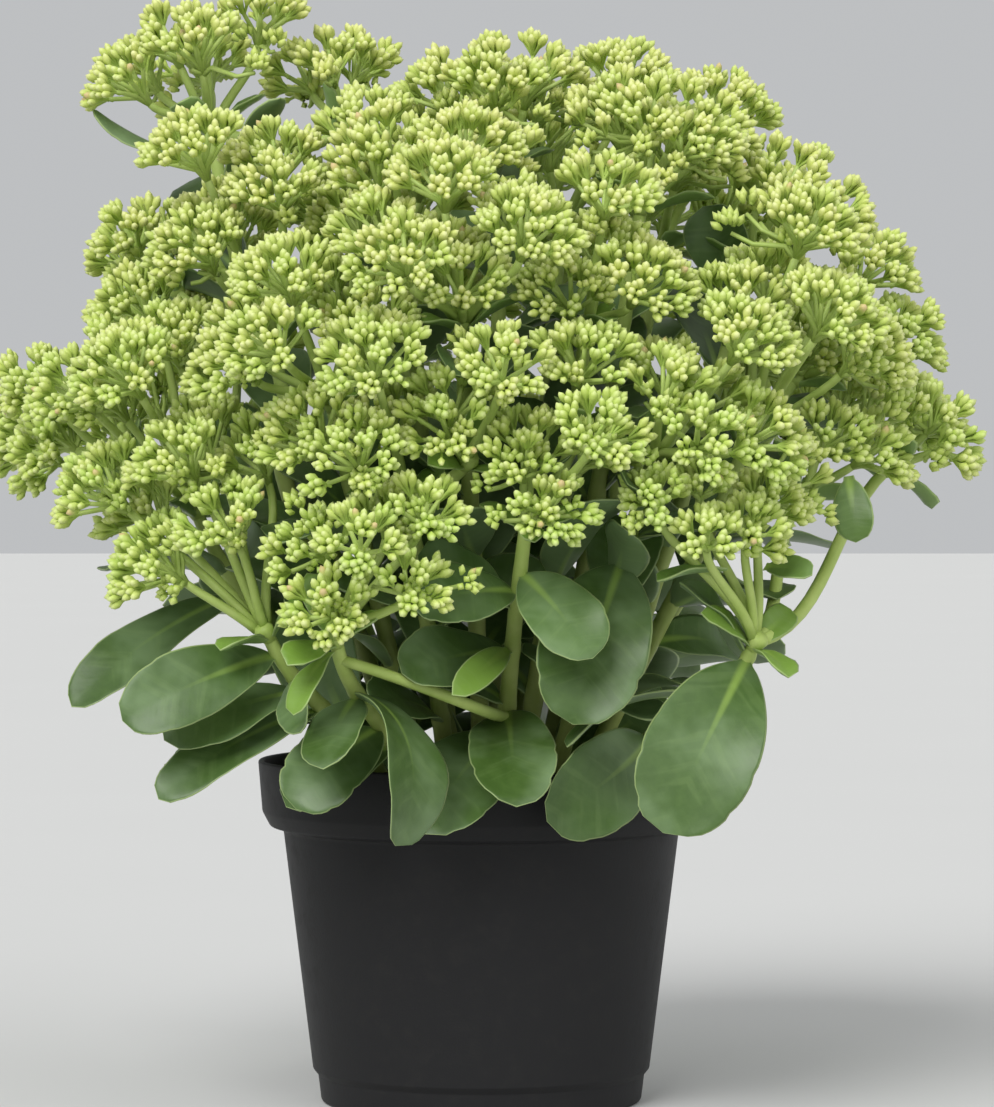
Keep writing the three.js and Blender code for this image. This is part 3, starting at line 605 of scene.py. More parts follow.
# Small leaves that stand out at the front or low in the middle: [stem, base, tip, half width, lean, youth].
SMALL_LEAVES = [
    [2, (-53, -116.5, 175.5), (-66, -130, 154), 6, 0.3, 0.9],
    [3, (10, -84, 175), (-10, -127, 161), 6, -0.6, 0.9],
    [4, (135, -68, 238), (137, -76, 214), 7.5, 0.2, 0.2],
    [4, (88, -108, 205), (63, -116, 201), 6.5, 0.4, 0.4],
    [4, (103, -95, 205.5), (119, -107, 203), 6, 0.4, 0.4],
    [13, (-9, -12, 127), (-24, -18, 158), 10, 1.2, 0.0],
    [15, (30, -12, 127), (45, -20, 157), 10, 1.2, 0.0],
    [16, (46, -8, 134), (68, -14, 158), 10, 1.2, 0.0],
    [16, (97, -4.5, 309), (84, -8, 340), 12, -0.8, 0.0],
]
# A side shoot leaves one stem low down and crosses in front to the next. The numbers of a bar are its points
# along, its first and last radius, and its sides.
SIDE_SHOOT_STEM = 3
SIDE_SHOOT_BAR = (17, 2.3, 2.0, 10)
SIDE_SHOOT = [(9.4, -61, 149.4), (9, -100, 150), (-16, -116, 163), (-50, -113, 173)]
EXTRA_LENGTH = 68
EXTRA_SHORTENING = 28
EXTRA_SPACING = 18
EXTRA_ROOM = 5.5
EXTRA_SPAN = 0.84
EXTRA_START = 0.08
SPOT_SHARES = (0.25, 0.4, 0.55, 0.7, 0.85, 0.98)
BASE_SPOTS = 6
CLEAR_OF_LEAF = 8
LOWEST_LEAF = 100
RIM_REACH = (76, 90)
RIM_CLEARANCE = 133
SOIL_CLEARANCE = 4
CLUMP_REACH = 45
CLUMP_SPLAY = 0.75
# Where an extra leaf grows: [turn round the stem, lift, share of its size].
EXTRA_CHOICES = [
    [0, 0, 1], [0.5, 0.3, 1], [-0.5, 0.3, 1], [0, 0.6, 0.9], [1.0, 0, 0.9], [-1.0, 0, 0.9],
    [1.6, 0.5, 0.8], [-1.6, 0.5, 0.8], [2.4, 0.2, 0.8], [3.1, 0.6, 0.7], [0.4, 0.9, 0.65],
    [-0.4, 0.9, 0.65], [2.0, 0.9, 0.6], [-2.0, 0.9, 0.6],
]
BRACT_COUNT = 3
BRACT_TURN = 2.2
BRACT_YOUTH = 0.85
SWELLING = 0.13
SWELLING_LENGTH = 0.014

Leaf = namedtuple("Leaf", "base tip upward half_width arch cup twist")


def turned_about(vector, axis, angle):
    cosine, sine = math.cos(angle), math.sin(angle)
    return vector * cosine + np.cross(axis, vector) * sine + axis * (axis @ vector) * (1 - cosine)


def showy_leaf(stem, row, size):
    """One of the listed leaves, at a share of its full size. lean rolls it about its own length."""
    share, x, y, z, width, arch, lean = row
    start = bend_point(stem.bend, share)
    tip = start + (np.array([x, y, z]) - start) * size
    along = bend_heading(stem.bend, share)
    outward = tip - start
    outward = unit(outward - along * (outward @ along))
    base = start + outward * LEAF_START
    upward = turned_about(along, unit(tip - base), lean)
    return Leaf(base, tip, upward, size * width, arch, cup=0.18, twist=0.2)


def leaf_share(stem, k):
    """How far up its stem leaf number k grows."""
    return LEAVES_FROM + LEAVES_OVER * (k + 0.5) / stem.leaves


def leaf_choice(stem, s, k, choice):
    """Where leaf number k of a stem may grow, on the spiral up the stem."""
    swing, size = choice
    share = leaf_share(stem, k)
    along = bend_heading(stem.bend, share)
    outward = around(along, draw(0, 2 * math.pi, s, 3) + k * GOLDEN_ANGLE + swing)
    pitch = 0.1 + 0.6 * share + draw(-0.15, 0.15, s, k, 4)
    length = size * (LEAF_LENGTH - LEAF_SHORTENING * share) * draw(0.88, 1.1, s, k, 5)
    ahead = outward * math.cos(pitch) + along * math.sin(pitch)
    base = bend_point(stem.bend, share) + outward * LEAF_START
    return Leaf(
        base,
        base + ahead * length,
        along,
        half_width=length * draw(0.27, 0.32, s, k, 6),
        arch=draw(0.35, 0.9, s, k, 8),
        cup=draw(0.12, 0.32, s, k, 9),
        twist=draw(-0.5, 0.5, s, k, 10),
    )


def grown(choices, corners):
    """The first of the choices whose tip is a corner of the stem's solid, which is the one that had room."""
    fits = (leaf for leaf in choices if np.min(norms(corners - leaf.tip)) < TIP_MATCH)
    return next(fits, None)


def leaf_frame(leaf):
    """A leaf's length, the way it points, the way its face looks and the radius that it arches to."""
    chord = leaf.tip - leaf.base
    length = np.linalg.norm(chord)
    ahead = chord / length
    above = unit(leaf.upward - ahead * (leaf.upward @ ahead))
    return length, ahead, above, length / (2 * math.sin(leaf.arch / 2))


def blade(leaf, rows, columns, seed, youth=0.0, teeth=5):
    """The points, faces and numbers of a leaf, arched, cupped and twisted as its solid is."""
    length, ahead, above, bend = leaf_frame(leaf)
    side = np.cross(ahead, above)
    share = np.linspace(0, 1, rows + 1)[:, None]
    share = 0.8 * share + 0.2 * share**2 * (3 - 2 * share)
    across = columns[None, :]
    swing = leaf.arch * (share - 0.5)
    normal = np.cos(swing)[..., None] * above + np.sin(swing)[..., None] * ahead
    turn = (leaf.twist * (share - 0.3))[..., None]
    wide = np.cos(turn) * side + np.sin(turn) * normal
    raised = np.cos(turn) * normal - np.sin(turn) * side
    # Half its width in each row: widest beyond the middle, no less than its stalk, notched between teeth.
    inside = np.clip(share, 1e-6, 1 - 1e-6)
    half = leaf.half_width * (inside / WIDEST) ** 0.75 * ((1 - inside) / (1 - WIDEST)) ** 0.46
    half = np.maximum(half, LEAF_STALK * (1 - share / 0.2))
    tooth = teeth * share + draw(0, 1, seed, 1) + 0.2 * np.sign(across)
    notch = (1 - np.abs(np.sin(math.pi * tooth))) ** 3
    toothed = np.clip((share - 0.45) / 0.25, 0, 1)
    half = half - TOOTH_DEPTH * leaf.half_width * notch * toothed * (share < 0.985)
    # Its height off the arched middle: cupped and wavy towards the margins, grooved along the thick midrib.
    ripple = np.sin(2 * math.pi * (1.7 * share + draw(0, 1, seed, 2)) + 1.2 * np.sign(across))
    lift = leaf.cup * half * across**2 + WAVE_HEIGHT * half * ripple * np.abs(across) ** 3
    lens = LEAF_THICKNESS / 2 * np.sqrt(np.clip(1 - across**2, 0, 1)) * np.clip(half / 4, 0.25, 1)
    groove = 0.35 * np.exp(-((across * half / 0.9) ** 2)) * (1 - share) * (share > 0.03)
    spine = leaf.base + (length / 2 + bend * np.sin(swing))[..., None] * ahead
    spine = spine + (bend * (np.cos(swing) - math.cos(leaf.arch / 2)))[..., None] * above
    sheets = []
    for face, groove_depth in ((1, 1), (-1, 1.6)):
        height = lift + face * lens - groove * groove_depth
        sheets.append(spine + (across * half)[..., None] * wide + height[..., None] * raised)
    points = np.concatenate(sheets).reshape(-1, 3)
    count, sheet = len(columns), len(points) // 2
    start = (np.arange(rows)[:, None] * count + np.arange(count - 1)[None, :]).ravel()
    upper = np.stack([start, start + 1, start + count + 1, start + count], 1)
    # The two sheets share their rims: the lower sheet's rim points are those of the upper one.
    rim = np.arange(len(points))
    for k in (0, count - 1):
        edge = np.arange(rows + 1) * count + k
        rim[edge + sheet] = edge

    def on_both(values):
        return np.tile(np.broadcast_to(values, sheets[0].shape[:2]).ravel(), 2)

    numbers = {
        "young": youth,
        "margin": on_both(half * (1 - np.abs(across))),
        "rib": on_both(half * np.abs(across)),
        "along": on_both(share),
        "under": np.repeat([0.0, 1.0], sheet),
        "tone": draw(0, 1, seed, 3),
    }
    return points, [rim[upper], rim[upper[:, ::-1] + sheet]], numbers


def spots(leaf):
    """Some places on a leaf, along its middle and out towards its two margins."""
    length, ahead, above, bend = leaf_frame(leaf)
    side = np.cross(ahead, above) * leaf.half_width
    places = []
    for share in SPOT_SHARES:
        swing = leaf.arch * (share - 0.5)
        spine = leaf.base + ahead * (length / 2 + bend * math.sin(swing))
        spine = spine + above * bend * (math.cos(swing) - math.cos(leaf.arch / 2))
        places += [spine] if share == SPOT_SHARES[-1] else [spine, spine - side * 0.7, spine + side * 0.7]
    return np.array(places)


def clear(places, taken, own_route):
    """Whether a new leaf there keeps off the compost, the pot's rim, the other leaves and the other stems."""
    reach, level = np.hypot(places[:, 0], places[:, 1]), places[:, 2]
    inside = reach < RIM_REACH[0]
    over_rim = ~inside & (reach < RIM_REACH[1])
    in_compost = np.any(inside & (level < SOIL_TOP + SOIL_CLEARANCE))
    if in_compost or np.any(over_rim & (level < RIM_CLEARANCE)) or np.any(level < LOWEST_LEAF):
        return False
    if np.min(norms(places[BASE_SPOTS:, None] - own_route[None])) < EXTRA_ROOM:
        return False
    return np.min(norms(places[:, None] - taken[None])) > EXTRA_ROOM


leaf_green = Finish("leaf_green", IOR=1.45)
margin, rib, along, under, tone, young = (
    leaf_green.reading(name) for name in ("margin", "rib", "along", "under", "tone", "young")
)
# Whitish patches: partly the leaves' real waxy bloom, partly a painted sheen for the soft highlights on the
# wax.
bloom_and_sheen = leaf_green.grain(34, 3.0, 0.55).step(0.4, 0.72)
mottle = leaf_green.grain(200, 4.0, 0.6)
pale_edge = 1 - margin.step(0.2, 0.7)
near_base = 1 - along.step(0.05, 0.7)
pale_rib = (1 - rib.step(0.3, 1.8 * near_base + 0.7)) * near_base
vein_place = leaf_green.node("CombineXYZ", {}, {0: along * 9.0 - rib * 0.09, 1: rib * 0.02, 2: tone})
side_veins = leaf_green.node("TexNoise", {}, {"Vector": vein_place, "Scale": 2.0, "Detail": 2.0})
grown_colour = tone.mix(colour(60, 86, 34), colour(80, 109, 54))
mottled_colour = tone.mix(colour(72, 99, 42), colour(92, 120, 64))
body = (0.6 * mottle.step(0.3, 0.7)).mix(grown_colour, mottled_colour)
# Grown leaves get the whitish patches, partly real bloom and partly painted sheen; young leaves are a
# brighter green.
body = young.mix((0.5 * bloom_and_sheen).mix(body, colour(128, 153, 110)), colour(120, 154, 60))
body = (0.1 * side_veins.step(0.5, 0.7)).mix(body, colour(140, 166, 104))
body = (0.6 * pale_rib).mix(body, colour(158, 188, 88))
body = (0.35 * under).mix(body, colour(140, 162, 120))
leaf_green.set(
    Base_Color=(0.7 * pale_edge).mix(body, colour(172, 192, 128)),
    Roughness=0.34 + 0.1 * mottle + 0.1 * bloom_and_sheen,
    Normal=leaf_green.bump(0.2, 0.0004, mottle + side_veins),
)

# The leaves that the solids hold.
for s, stem in enumerate(stems):
    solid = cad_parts[f"leafy_stem_{s + 1:02d}"]
    corners = np.array([v.co for v in solid.data.vertices]) / MILLIMETRE
    stem.grown = []
    for row in stem.showy:
        leaf = grown([showy_leaf(stem, row, size) for size in SHOWY_SIZES], corners)
        if leaf:
            stem.grown.append((leaf, row[0], SHOWY_ROWS, FINE))
    for k in range(stem.leaves):
        leaf = grown([leaf_choice(stem, s, k, choice) for choice in CHOICES], corners)
        if leaf:
            stem.grown.append((leaf, leaf_share(stem, k), MIDDLING_ROWS, MIDDLING))

# The smaller and lower leaves that fill the inside of the clump.
routes = [np.array(curve(stem.bend, STEM_RINGS)) for stem in stems]
leaf_spots = [spots(leaf) for stem in stems for leaf, *_ in stem.grown]
hubs = np.array([lobe.top.centre for stem in stems for lobe in stem.lobes])
for s, stem in enumerate(stems):
    length = np.sum(norms(np.diff(routes[s], axis=0)))
    others = np.concatenate([*routes[:s], *routes[s + 1 :], hubs])
    for k in range(int(EXTRA_SPAN * length / EXTRA_SPACING)):
        share = EXTRA_START + (k + draw(0.2, 0.8, s, k, 21)) * EXTRA_SPACING / length
        if any(abs(share - at) * length < CLEAR_OF_LEAF for _, at, *_ in stem.grown):
            continue
        along_stem = bend_heading(stem.bend, share)
        size = (EXTRA_LENGTH - EXTRA_SHORTENING * share) * draw(0.75, 1.1, s, k, 22)
        for swing, lift, scale in EXTRA_CHOICES:
            outward = around(along_stem, draw(0, 2 * math.pi, s, 23) + k * GOLDEN_ANGLE + swing)
            pitch = -0.75 + 1.3 * share + draw(-0.25, 0.25, s, k, 24) + lift
            base = bend_point(stem.bend, share) + outward * LEAF_START
            tip = base + (outward * math.cos(pitch) + along_stem * math.sin(pitch)) * size * scale
            leaf = Leaf(
                base,
                tip,
                turned_about(along_stem, unit(tip - base), draw(-0.6, 0.6, s, k, 25)),
                half_width=size * scale * draw(0.27, 0.34, s, k, 26),
                arch=draw(0.5, 1.1, s, k, 27),
                cup=draw(0.1, 0.35, s, k, 28),
                twist=draw(-0.6, 0.6, s, k, 29),
            )
            if math.hypot(tip[0], tip[1]) > CLUMP_REACH + CLUMP_SPLAY * (tip[2] - LOWEST_LEAF):
                continue
            places = spots(leaf)
            if clear(places, np.concatenate([others, *leaf_spots]), routes[s]):
                stem.grown.append((leaf, share, EXTRA_ROWS, PLAIN))
                leaf_spots.append(places)
                break

for s, stem in enumerate(stems):
    node = f"leafy_stem_{s + 1:02d}"
    leaves = Heap()
    for k, (leaf, share, rows, columns) in enumerate(stem.grown):
        leaves.add(*blade(leaf, rows, columns, 40 * s + k))
    for k, (stem_number, base, tip, half_width, lean, youth) in enumerate(SMALL_LEAVES):
        if stem_number == s + 1:
            base, tip = np.array(base, float), np.array(tip, float)
            upward = turned_about(np.array([0.0, -0.5, 1.0]), unit(tip - base), lean)
            leaf = Leaf(base, tip, upward, half_width, arch=0.55, cup=0.25, twist=0.2)
            leaves.add(*blade(leaf, SMALL_ROWS, MIDDLING, 3000 + k, youth))
    # Small bracts stand round the foot of each lobe's rays.
    for part, lobe in enumerate(stem.lobes):
        top = lobe.top
        for k in range(BRACT_COUNT):
            outward = around(top.along, draw(0, 2 * math.pi, s, part, 90) + k * BRACT_TURN)
            length = draw(15, 27, s, part, 91 + k)
            ahead = outward * 0.85 + top.along * draw(0.15, 0.7, s, part, 95 + k)
            base = top.centre - top.along * (HUB_LENGTH - 1) + outward * 2.0
            tip = base + unit(ahead) * length
            half_width, twist = length * draw(0.2, 0.3, s, part, 99 + k), draw(-0.4, 0.4, s, part, 103 + k)
            bract = Leaf(base, tip, top.along, half_width, arch=0.6, cup=0.3, twist=twist)
            leaves.add(*blade(bract, BRACT_ROWS, PLAIN, 1000 + 40 * s + 10 * part + k, BRACT_YOUTH, teeth=3))
    settle(leaves.piece(f"leaves_{s + 1:02d}", leaf_green), "leaf", node)

    stalk = Heap()
    shares = np.linspace(0, 1, STEM_RINGS)
    top = stem.lobes[0].top
    swell = sum(np.exp(-(((shares - share) / SWELLING_LENGTH) ** 2)) for _, share, *_ in stem.grown)
    radii = (STEM_FOOT_RADIUS - (STEM_FOOT_RADIUS - STEM_TOP_RADIUS) * shares) * (1 + SWELLING * swell)
    line = [*routes[s], top.centre - top.along]
    stalk.add(*tube(line, [*radii, STEM_TOP_RADIUS * 1.1], STEM_SIDES, [*shares, 1.0]))
    if s + 1 == SIDE_SHOOT_STEM:
        stalk.add(*bar(np.array(SIDE_SHOOT, float), *SIDE_SHOOT_BAR))
    settle(stalk.piece(f"stalk_{s + 1:02d}", stem_green), "leaf", node)

# ---- The rays of the heads -------------------------------------------------------------------------------
# Each head branches: fleshy rays spread from the stem's top, and at the end of each a fan of short twigs
# carries the tufts of buds. All of it is one soft pale green.

RAY_RADIUS = 1.15
RAY_SPREAD = 2.9
CYMULE_VARIATION = 0.9
EASING_ROUNDS = 120
EASY_ROOM = 1.2
RAY_ROOM = 0.9
NEIGHBOURHOOD = 60
TUFTS = 5
NECK_DEPTH = 1.1
FOCUS_DEPTH = 1.15
FLATNESS = 0.9
# Tufts as [slant, half steps back round the crown, share of the way out, spread]: at the crown, then each of
# the ring round it, and those that may stand between them.
CROWN_TUFT = (0, 0, 1, 1)
RING_TUFT = (1.25, 0, 1, 1.4)
SPARE_TUFTS = [(0.72, 0, 0.97, 1.1), (1.25, 1, 0.97, 1.4), (1.7, 1, 0.9, 1.4), (1.7, 0, 0.9, 1.4)]
TUFT_SPACING = 10.5
TUFT_DEPTH = 11.0
TUFT_REACH = (5.5, 9.0)
CANOPY_HEART = np.array([0.0, 0.0, 170.0])
# How the canopy is closed: the looks in, the hole they need, how deep they go, and the new tuft's depth.
CANOPY_FILL = (5000, 8.6, 17, 4)
INNER_FILL = (9000, 6.2, 19, 9)
LOWEST_LOOK = -0.02
LOOK_REACH = 26
LEAST_DEPTH = 30
LEAST_NEIGHBOURS = 7
SURFACE_SHARE = 0.7
TWIG_DEPTH = 16
TWIG_LIMIT = 36
TWIG_DROOP = 3
# Rings of the boss that each fan of rays leaves: [place along it, radius].
BOSS = [(-HUB_LENGTH, 2.6), (-3.5, 3.2), (-1.2, 3.8), (0.8, 2.6)]
BOSS_SIDES = 12
BRANCH_BAR = (13, 2.6, 2.1, 10)
RAY_BAR = (9, 1.95, 1.5, 7)
TWIG_BAR = (4, 1.15, 0.85, 5)
LONG_BRANCH = 60


def foot_on(top, point):
    """Where the ray to a point leaves the flat face that tops a stem or branch."""
    sideways = unit(point - top.centre)
    sideways = sideways - top.along * (sideways @ top.along)
    return top.centre + sideways * RAY_SPREAD / max(0.6, np.linalg.norm(sideways)) - top.along


def ease_apart(first, hub, radius):
    """Moves the cymules bit by bit, until they share the dome out evenly and none has another's ray in it."""
    centre = first.copy()
    same = np.eye(len(centre), dtype=bool)
    for step in range(EASING_ROUNDS):
        hold = 0.05 * max(0, 1 - 1.3 * step / EASING_ROUNDS)
        moves = (first - centre) * hold
        line = (centre - hub)[:, None, :]
        from_hub = centre[None, :, :] - hub[:, None, :]
        share = np.clip((from_hub * line).sum(-1) / (line**2).sum(-1), 0, 1)
        apart = from_hub - share[..., None] * line
        length = np.where(same, 1.0, norms(apart))
        room = np.where(share < 1, RAY_ROOM * radius[None, :], radius[None, :] + radius[:, None] + GAP)
        short = np.maximum(0, room - length)
        close = np.where(share < 1, 0, np.maximum(0, EASY_ROOM * room - length))
        push = np.where(same, 0, 0.25 * short + 0.06 * close)
        force = apart / length[..., None] * push[..., None]
        centre = centre + moves + force.sum(axis=0) - (force * share[..., None]).sum(axis=1)
    return centre


def place_cymules(stems):
    """Each lobe of a head is a spiral of cymules over a shallow dome."""
    cymules = []
    for s, stem in enumerate(stems):
        for part, lobe in enumerate(stem.lobes):
            right, up = basis(lobe.facing)
            turn = draw(0, 2 * math.pi, s, part, 1)
            for i in range(lobe.count):
                reach = (lobe.radius - 0.45 * lobe.cymule_radius) * math.sqrt((i + 0.2) / (lobe.count - 0.4))
                angle = turn + i * GOLDEN_ANGLE
                rise = draw(-2, 2, s, part, i + 7) - 0.4 * reach * reach / lobe.radius
                first = lobe.centre + right * reach * math.cos(angle) + up * reach * math.sin(angle)
                first = first + lobe.facing * rise
                radius = lobe.cymule_radius + draw(-CYMULE_VARIATION, CYMULE_VARIATION, s, part, i + 50)
                cymules.append(SimpleNamespace(first=first, radius=radius, turn=angle, lobe=lobe, stem=s))
    starts, hubs = np.array([c.first for c in cymules]), np.array([c.lobe.hub for c in cymules])
    centres = ease_apart(starts, hubs, np.array([c.radius for c in cymules]))
    for cymule, centre in zip(cymules, centres):
        cymule.centre = centre
        cymule.facing = unit(0.6 * unit(centre - cymule.lobe.hub) + 0.4 * cymule.lobe.facing)
        cymule.foot = foot_on(cymule.lobe.top, centre)
        cymule.neck = centre - cymule.facing * NECK_DEPTH * cymule.radius
    return cymules


def nearest_on(starts, ends, point):
    """The point of each straight line that lies nearest to a given point."""
    lines = ends - starts
    share = np.clip(((point - starts) * lines).sum(-1) / (lines**2).sum(-1), 0, 1)
    return starts + share[:, None] * lines


def build_walls(cymules, stems):
    """Walls that each cymule grows up to: half way to each other one, and just short of each ray and stem."""
    centres = np.array([c.centre for c in cymules])
    feet = np.array([c.foot for c in cymules])
    necks = np.array([c.neck for c in cymules])
    starts = np.concatenate([stem.route[:-1] for stem in stems])
    ends = np.concatenate([stem.route[1:] for stem in stems])
    for i, cymule in enumerate(cymules):
        others = np.arange(len(cymules)) != i
        on_rays = nearest_on(feet, necks, cymule.centre)[others]
        on_stems = nearest_on(starts, ends, cymule.centre)
        across = [place - cymule.centre for place in (centres[others], on_rays, on_stems)]
        to_cymules, to_rays, to_stems = lengths = [norms(a) for a in across]
        distances = [(to_cymules - GAP) / 2, to_rays - RAY_RADIUS - 2 * GAP]
        distances.append(to_stems - STEM_TOP_RADIUS - 2 * GAP)
        near = np.concatenate(lengths) <= NEIGHBOURHOOD
        cymule.towards = (np.concatenate(across) / np.concatenate(lengths)[:, None])[near]
        cymule.distance = np.concatenate(distances)[near]


def room_towards(cymule, direction):
    """How far a cymule may grow that way before it meets a wall."""
    closing = cymule.towards @ direction
    rooms = np.where(closing > 1e-9, cymule.distance / np.maximum(closing, 1e-9), np.inf)
    return np.min(rooms, initial=np.inf)


def place_tufts(cymules):
    """The tufts of buds: one at each cymule's crown, five round it, and others where those leave a hole."""
    tufts, spare = [], []
    for cymule in cymules:

        def at(angle, slant, back, share, spread):
            sideways = spread * math.sin(slant) * around(cymule.facing, angle - back * math.pi / TUFTS)
            direction = cymule.facing * FLATNESS * math.cos(slant) + sideways
            most = cymule.radius * np.linalg.norm(direction)
            direction = unit(direction)
            tip = cymule.centre + direction * share * min(most, room_towards(cymule, direction))
            focus = cymule.centre - cymule.facing * FOCUS_DEPTH * cymule.radius
            return SimpleNamespace(tip=tip, axis=unit(tip - focus), cymule=cymule, inner=False)

        tufts.append(at(0, *CROWN_TUFT))
        for k in range(TUFTS):
            angle = cymule.turn + 2 * math.pi * k / TUFTS
            tufts.append(at(angle, *RING_TUFT))
            spare += [at(angle, *row) for row in SPARE_TUFTS]
    for tuft in spare:
        tips = np.array([t.tip for t in tufts])
        if np.min(norms(tips - tuft.tip)) > TUFT_SPACING:
            tufts.append(tuft)
    return tufts


def fill_canopy(tufts, cymules, looks, hole, depth, sunk, inner):
    """Closes the canopy: where a look in from outside meets no tuft, a longer twig carries one there."""
    necks = np.array([cymule.neck for cymule in cymules])
    from_heart = np.array([tuft.tip for tuft in tufts]) - CANOPY_HEART
    order = np.arange(looks)
    heights = 1 - 2 * (order + 0.5) / looks
    reach, angle = np.sqrt(1 - heights**2), order * GOLDEN_ANGLE
    ways = np.stack([reach * np.cos(angle), reach * np.sin(angle), heights], 1)
    for look in ways[heights > LOWEST_LOOK]:
        depths = from_heart @ look
        aside = norms(from_heart - depths[:, None] * look)
        near = (aside < LOOK_REACH) & (depths > LEAST_DEPTH)
        if np.count_nonzero(near) < LEAST_NEIGHBOURS:
            continue
        surface = np.quantile(depths[near], SURFACE_SHARE)
        if np.any((aside < hole) & (depths > surface - depth)):
            continue
        tip = CANOPY_HEART + look * (surface - sunk)
        neck_number = int(np.argmin(norms(necks - (tip - TWIG_DEPTH * look))))
        neck = necks[neck_number]
        if np.linalg.norm(neck - tip) > TWIG_LIMIT or tip[2] < neck[2] - TWIG_DROOP:
            continue
        axis = unit(unit(tip - neck) + look)
        tufts.append(SimpleNamespace(tip=tip, axis=axis, cymule=cymules[neck_number], inner=inner))
        from_heart = np.concatenate([from_heart, (tip - CANOPY_HEART)[None]])


cymules = place_cymules(stems)
build_walls(cymules, stems)
tufts = place_tufts(cymules)
fill_canopy(tufts, cymules, *CANOPY_FILL, inner=False)
fill_canopy(tufts, cymules, *INNER_FILL, inner=True)
tips = np.array([tuft.tip for tuft in tufts])
for tuft in tufts:
    tuft.node = tuft.tip - tuft.axis * TUFT_DEPTH
    apart = np.sort(norms(tips - tuft.tip))[1:4]
    tuft.half = float(np.clip(apart.mean() / 2, *TUFT_REACH))

for s, stem in enumerate(stems):
    rays = Heap()
    main = stem.lobes[0].top
    for lobe in stem.lobes[1:]:
        across = lobe.top.centre - main.centre
        start = main.centre - main.along * 0.4 * HUB_LENGTH
        end = lobe.top.centre - lobe.top.along * 0.6 * HUB_LENGTH
        reach = np.linalg.norm(across)
        sag = np.array([0, 0, 0.5 if reach > LONG_BRANCH else 0.25]) * reach
        arm = (start, start + unit(across - sag) * reach * 0.42, end - lobe.top.along * reach * 0.3, end)
        rays.add(*bar(arm, *BRANCH_BAR, onward=[lobe.top.centre]))
    for lobe in stem.lobes:
        line = [lobe.top.centre + lobe.top.along * place for place, _ in BOSS]
        rays.add(*tube(line, [radius for _, radius in BOSS], BOSS_SIDES))
    for cymule in cymules:
        if cymule.stem != s:
            continue
        foot, neck = cymule.foot, cymule.neck
        reach = np.linalg.norm(neck - foot)
        outward = unit(neck - foot + cymule.lobe.top.along * 0.4 * reach)
        arm = (foot, foot + outward * reach * 0.35, neck - cymule.facing * reach * 0.25, neck)
        rays.add(*bar(arm, *RAY_BAR))
    for tuft in tufts:
        if tuft.cymule.stem != s:
            continue
        neck, facing = tuft.cymule.neck, tuft.cymule.facing
        reach = np.linalg.norm(tuft.node - neck)
        handles = (neck + facing * reach * 0.4, tuft.node - tuft.axis * reach * 0.3)
        rays.add(*bar((neck - facing * 0.5, *handles, tuft.node + tuft.axis), *TWIG_BAR))
    settle(rays.piece(f"rays_{s + 1:02d}", stem_green), "bud", f"flower_head_{s + 1:02d}")

# ---- The buds --------------------------------------------------------------------------------------------
# Closed five-sided buds the size of a grain of wheat, packed in small round tufts. Each stands on its own
# short stalk in a green calyx, and pales to cream at its pointed tip. A few are flushed with pink.

BUD_SPACING = 3.55
BUD_PACKING = 0.525
BUD_ROOM = 2.7
BUD_LENGTH = 5.3
BUDS_IN_TUFT = (8, 20)
BUD_VARIATION = 0.09
RIPE_FROM = 230
RIPE_OVER = 130
FLUSHED = 0.994
BLUSH = 0.7


def tuft_buds(tuft, index, spin):
    """Directions and lengths of a tuft's buds, in a spiral over a cap of a ball round the tuft's node."""
    count = int(np.clip((tuft.half / (BUD_SPACING * BUD_PACKING)) ** 2 + 1, *BUDS_IN_TUFT))
    order = np.arange(count)
    slant = BUD_SPACING * BUD_PACKING / TUFT_DEPTH * np.sqrt(order + 0.35)
    slant = slant * (1 + 0.08 * spin.standard_normal(count))
    angle = index * 1.7 + order * GOLDEN_ANGLE + 0.2 * spin.standard_normal(count)
    right, up = basis(tuft.axis)
    ways = np.outer(np.cos(slant), tuft.axis) + np.outer(np.sin(slant) * np.cos(angle), right)
    ways = ways + np.outer(np.sin(slant) * np.sin(angle), up)
    reach = TUFT_DEPTH * (1 + 0.06 * spin.standard_normal(count) - 0.05 * (slant / 0.6) ** 2)
    return ways, reach


def thinned(points, room):
    """Which points stay when each has to keep that far from those before it."""
    tree = kdtree.KDTree(len(points))
    for i, point in enumerate(points):
        tree.insert(point, i)
    tree.balance()
    kept = np.ones(len(points), bool)
    for i, point in enumerate(points):
        kept[i] = not any(j < i and kept[j] for _, j, _ in tree.find_range(point, room))
    return kept


# A row for each bud: the way it points, its reach, its tuft's node, its stem, how ripe it is, and whether it
# is one of the plainer buds inside the canopy.
spin = np.random.default_rng(11)
rows = []
for index, tuft in enumerate(tufts):
    ways, reach = tuft_buds(tuft, index, spin)
    high = np.clip((tuft.tip[2] - RIPE_FROM) / RIPE_OVER, 0, 1)
    ripeness = np.clip(0.25 + 0.5 * high + spin.uniform(-0.3, 0.3), 0, 1)
    shared = np.tile([*tuft.node, tuft.cymule.stem, ripeness, tuft.inner], (len(ways), 1))
    rows.append(np.column_stack([ways, reach, shared]))
buds = np.concatenate(rows)
buds = buds[thinned(buds[:, 4:7] + buds[:, :3] * buds[:, 3:4], BUD_ROOM)]

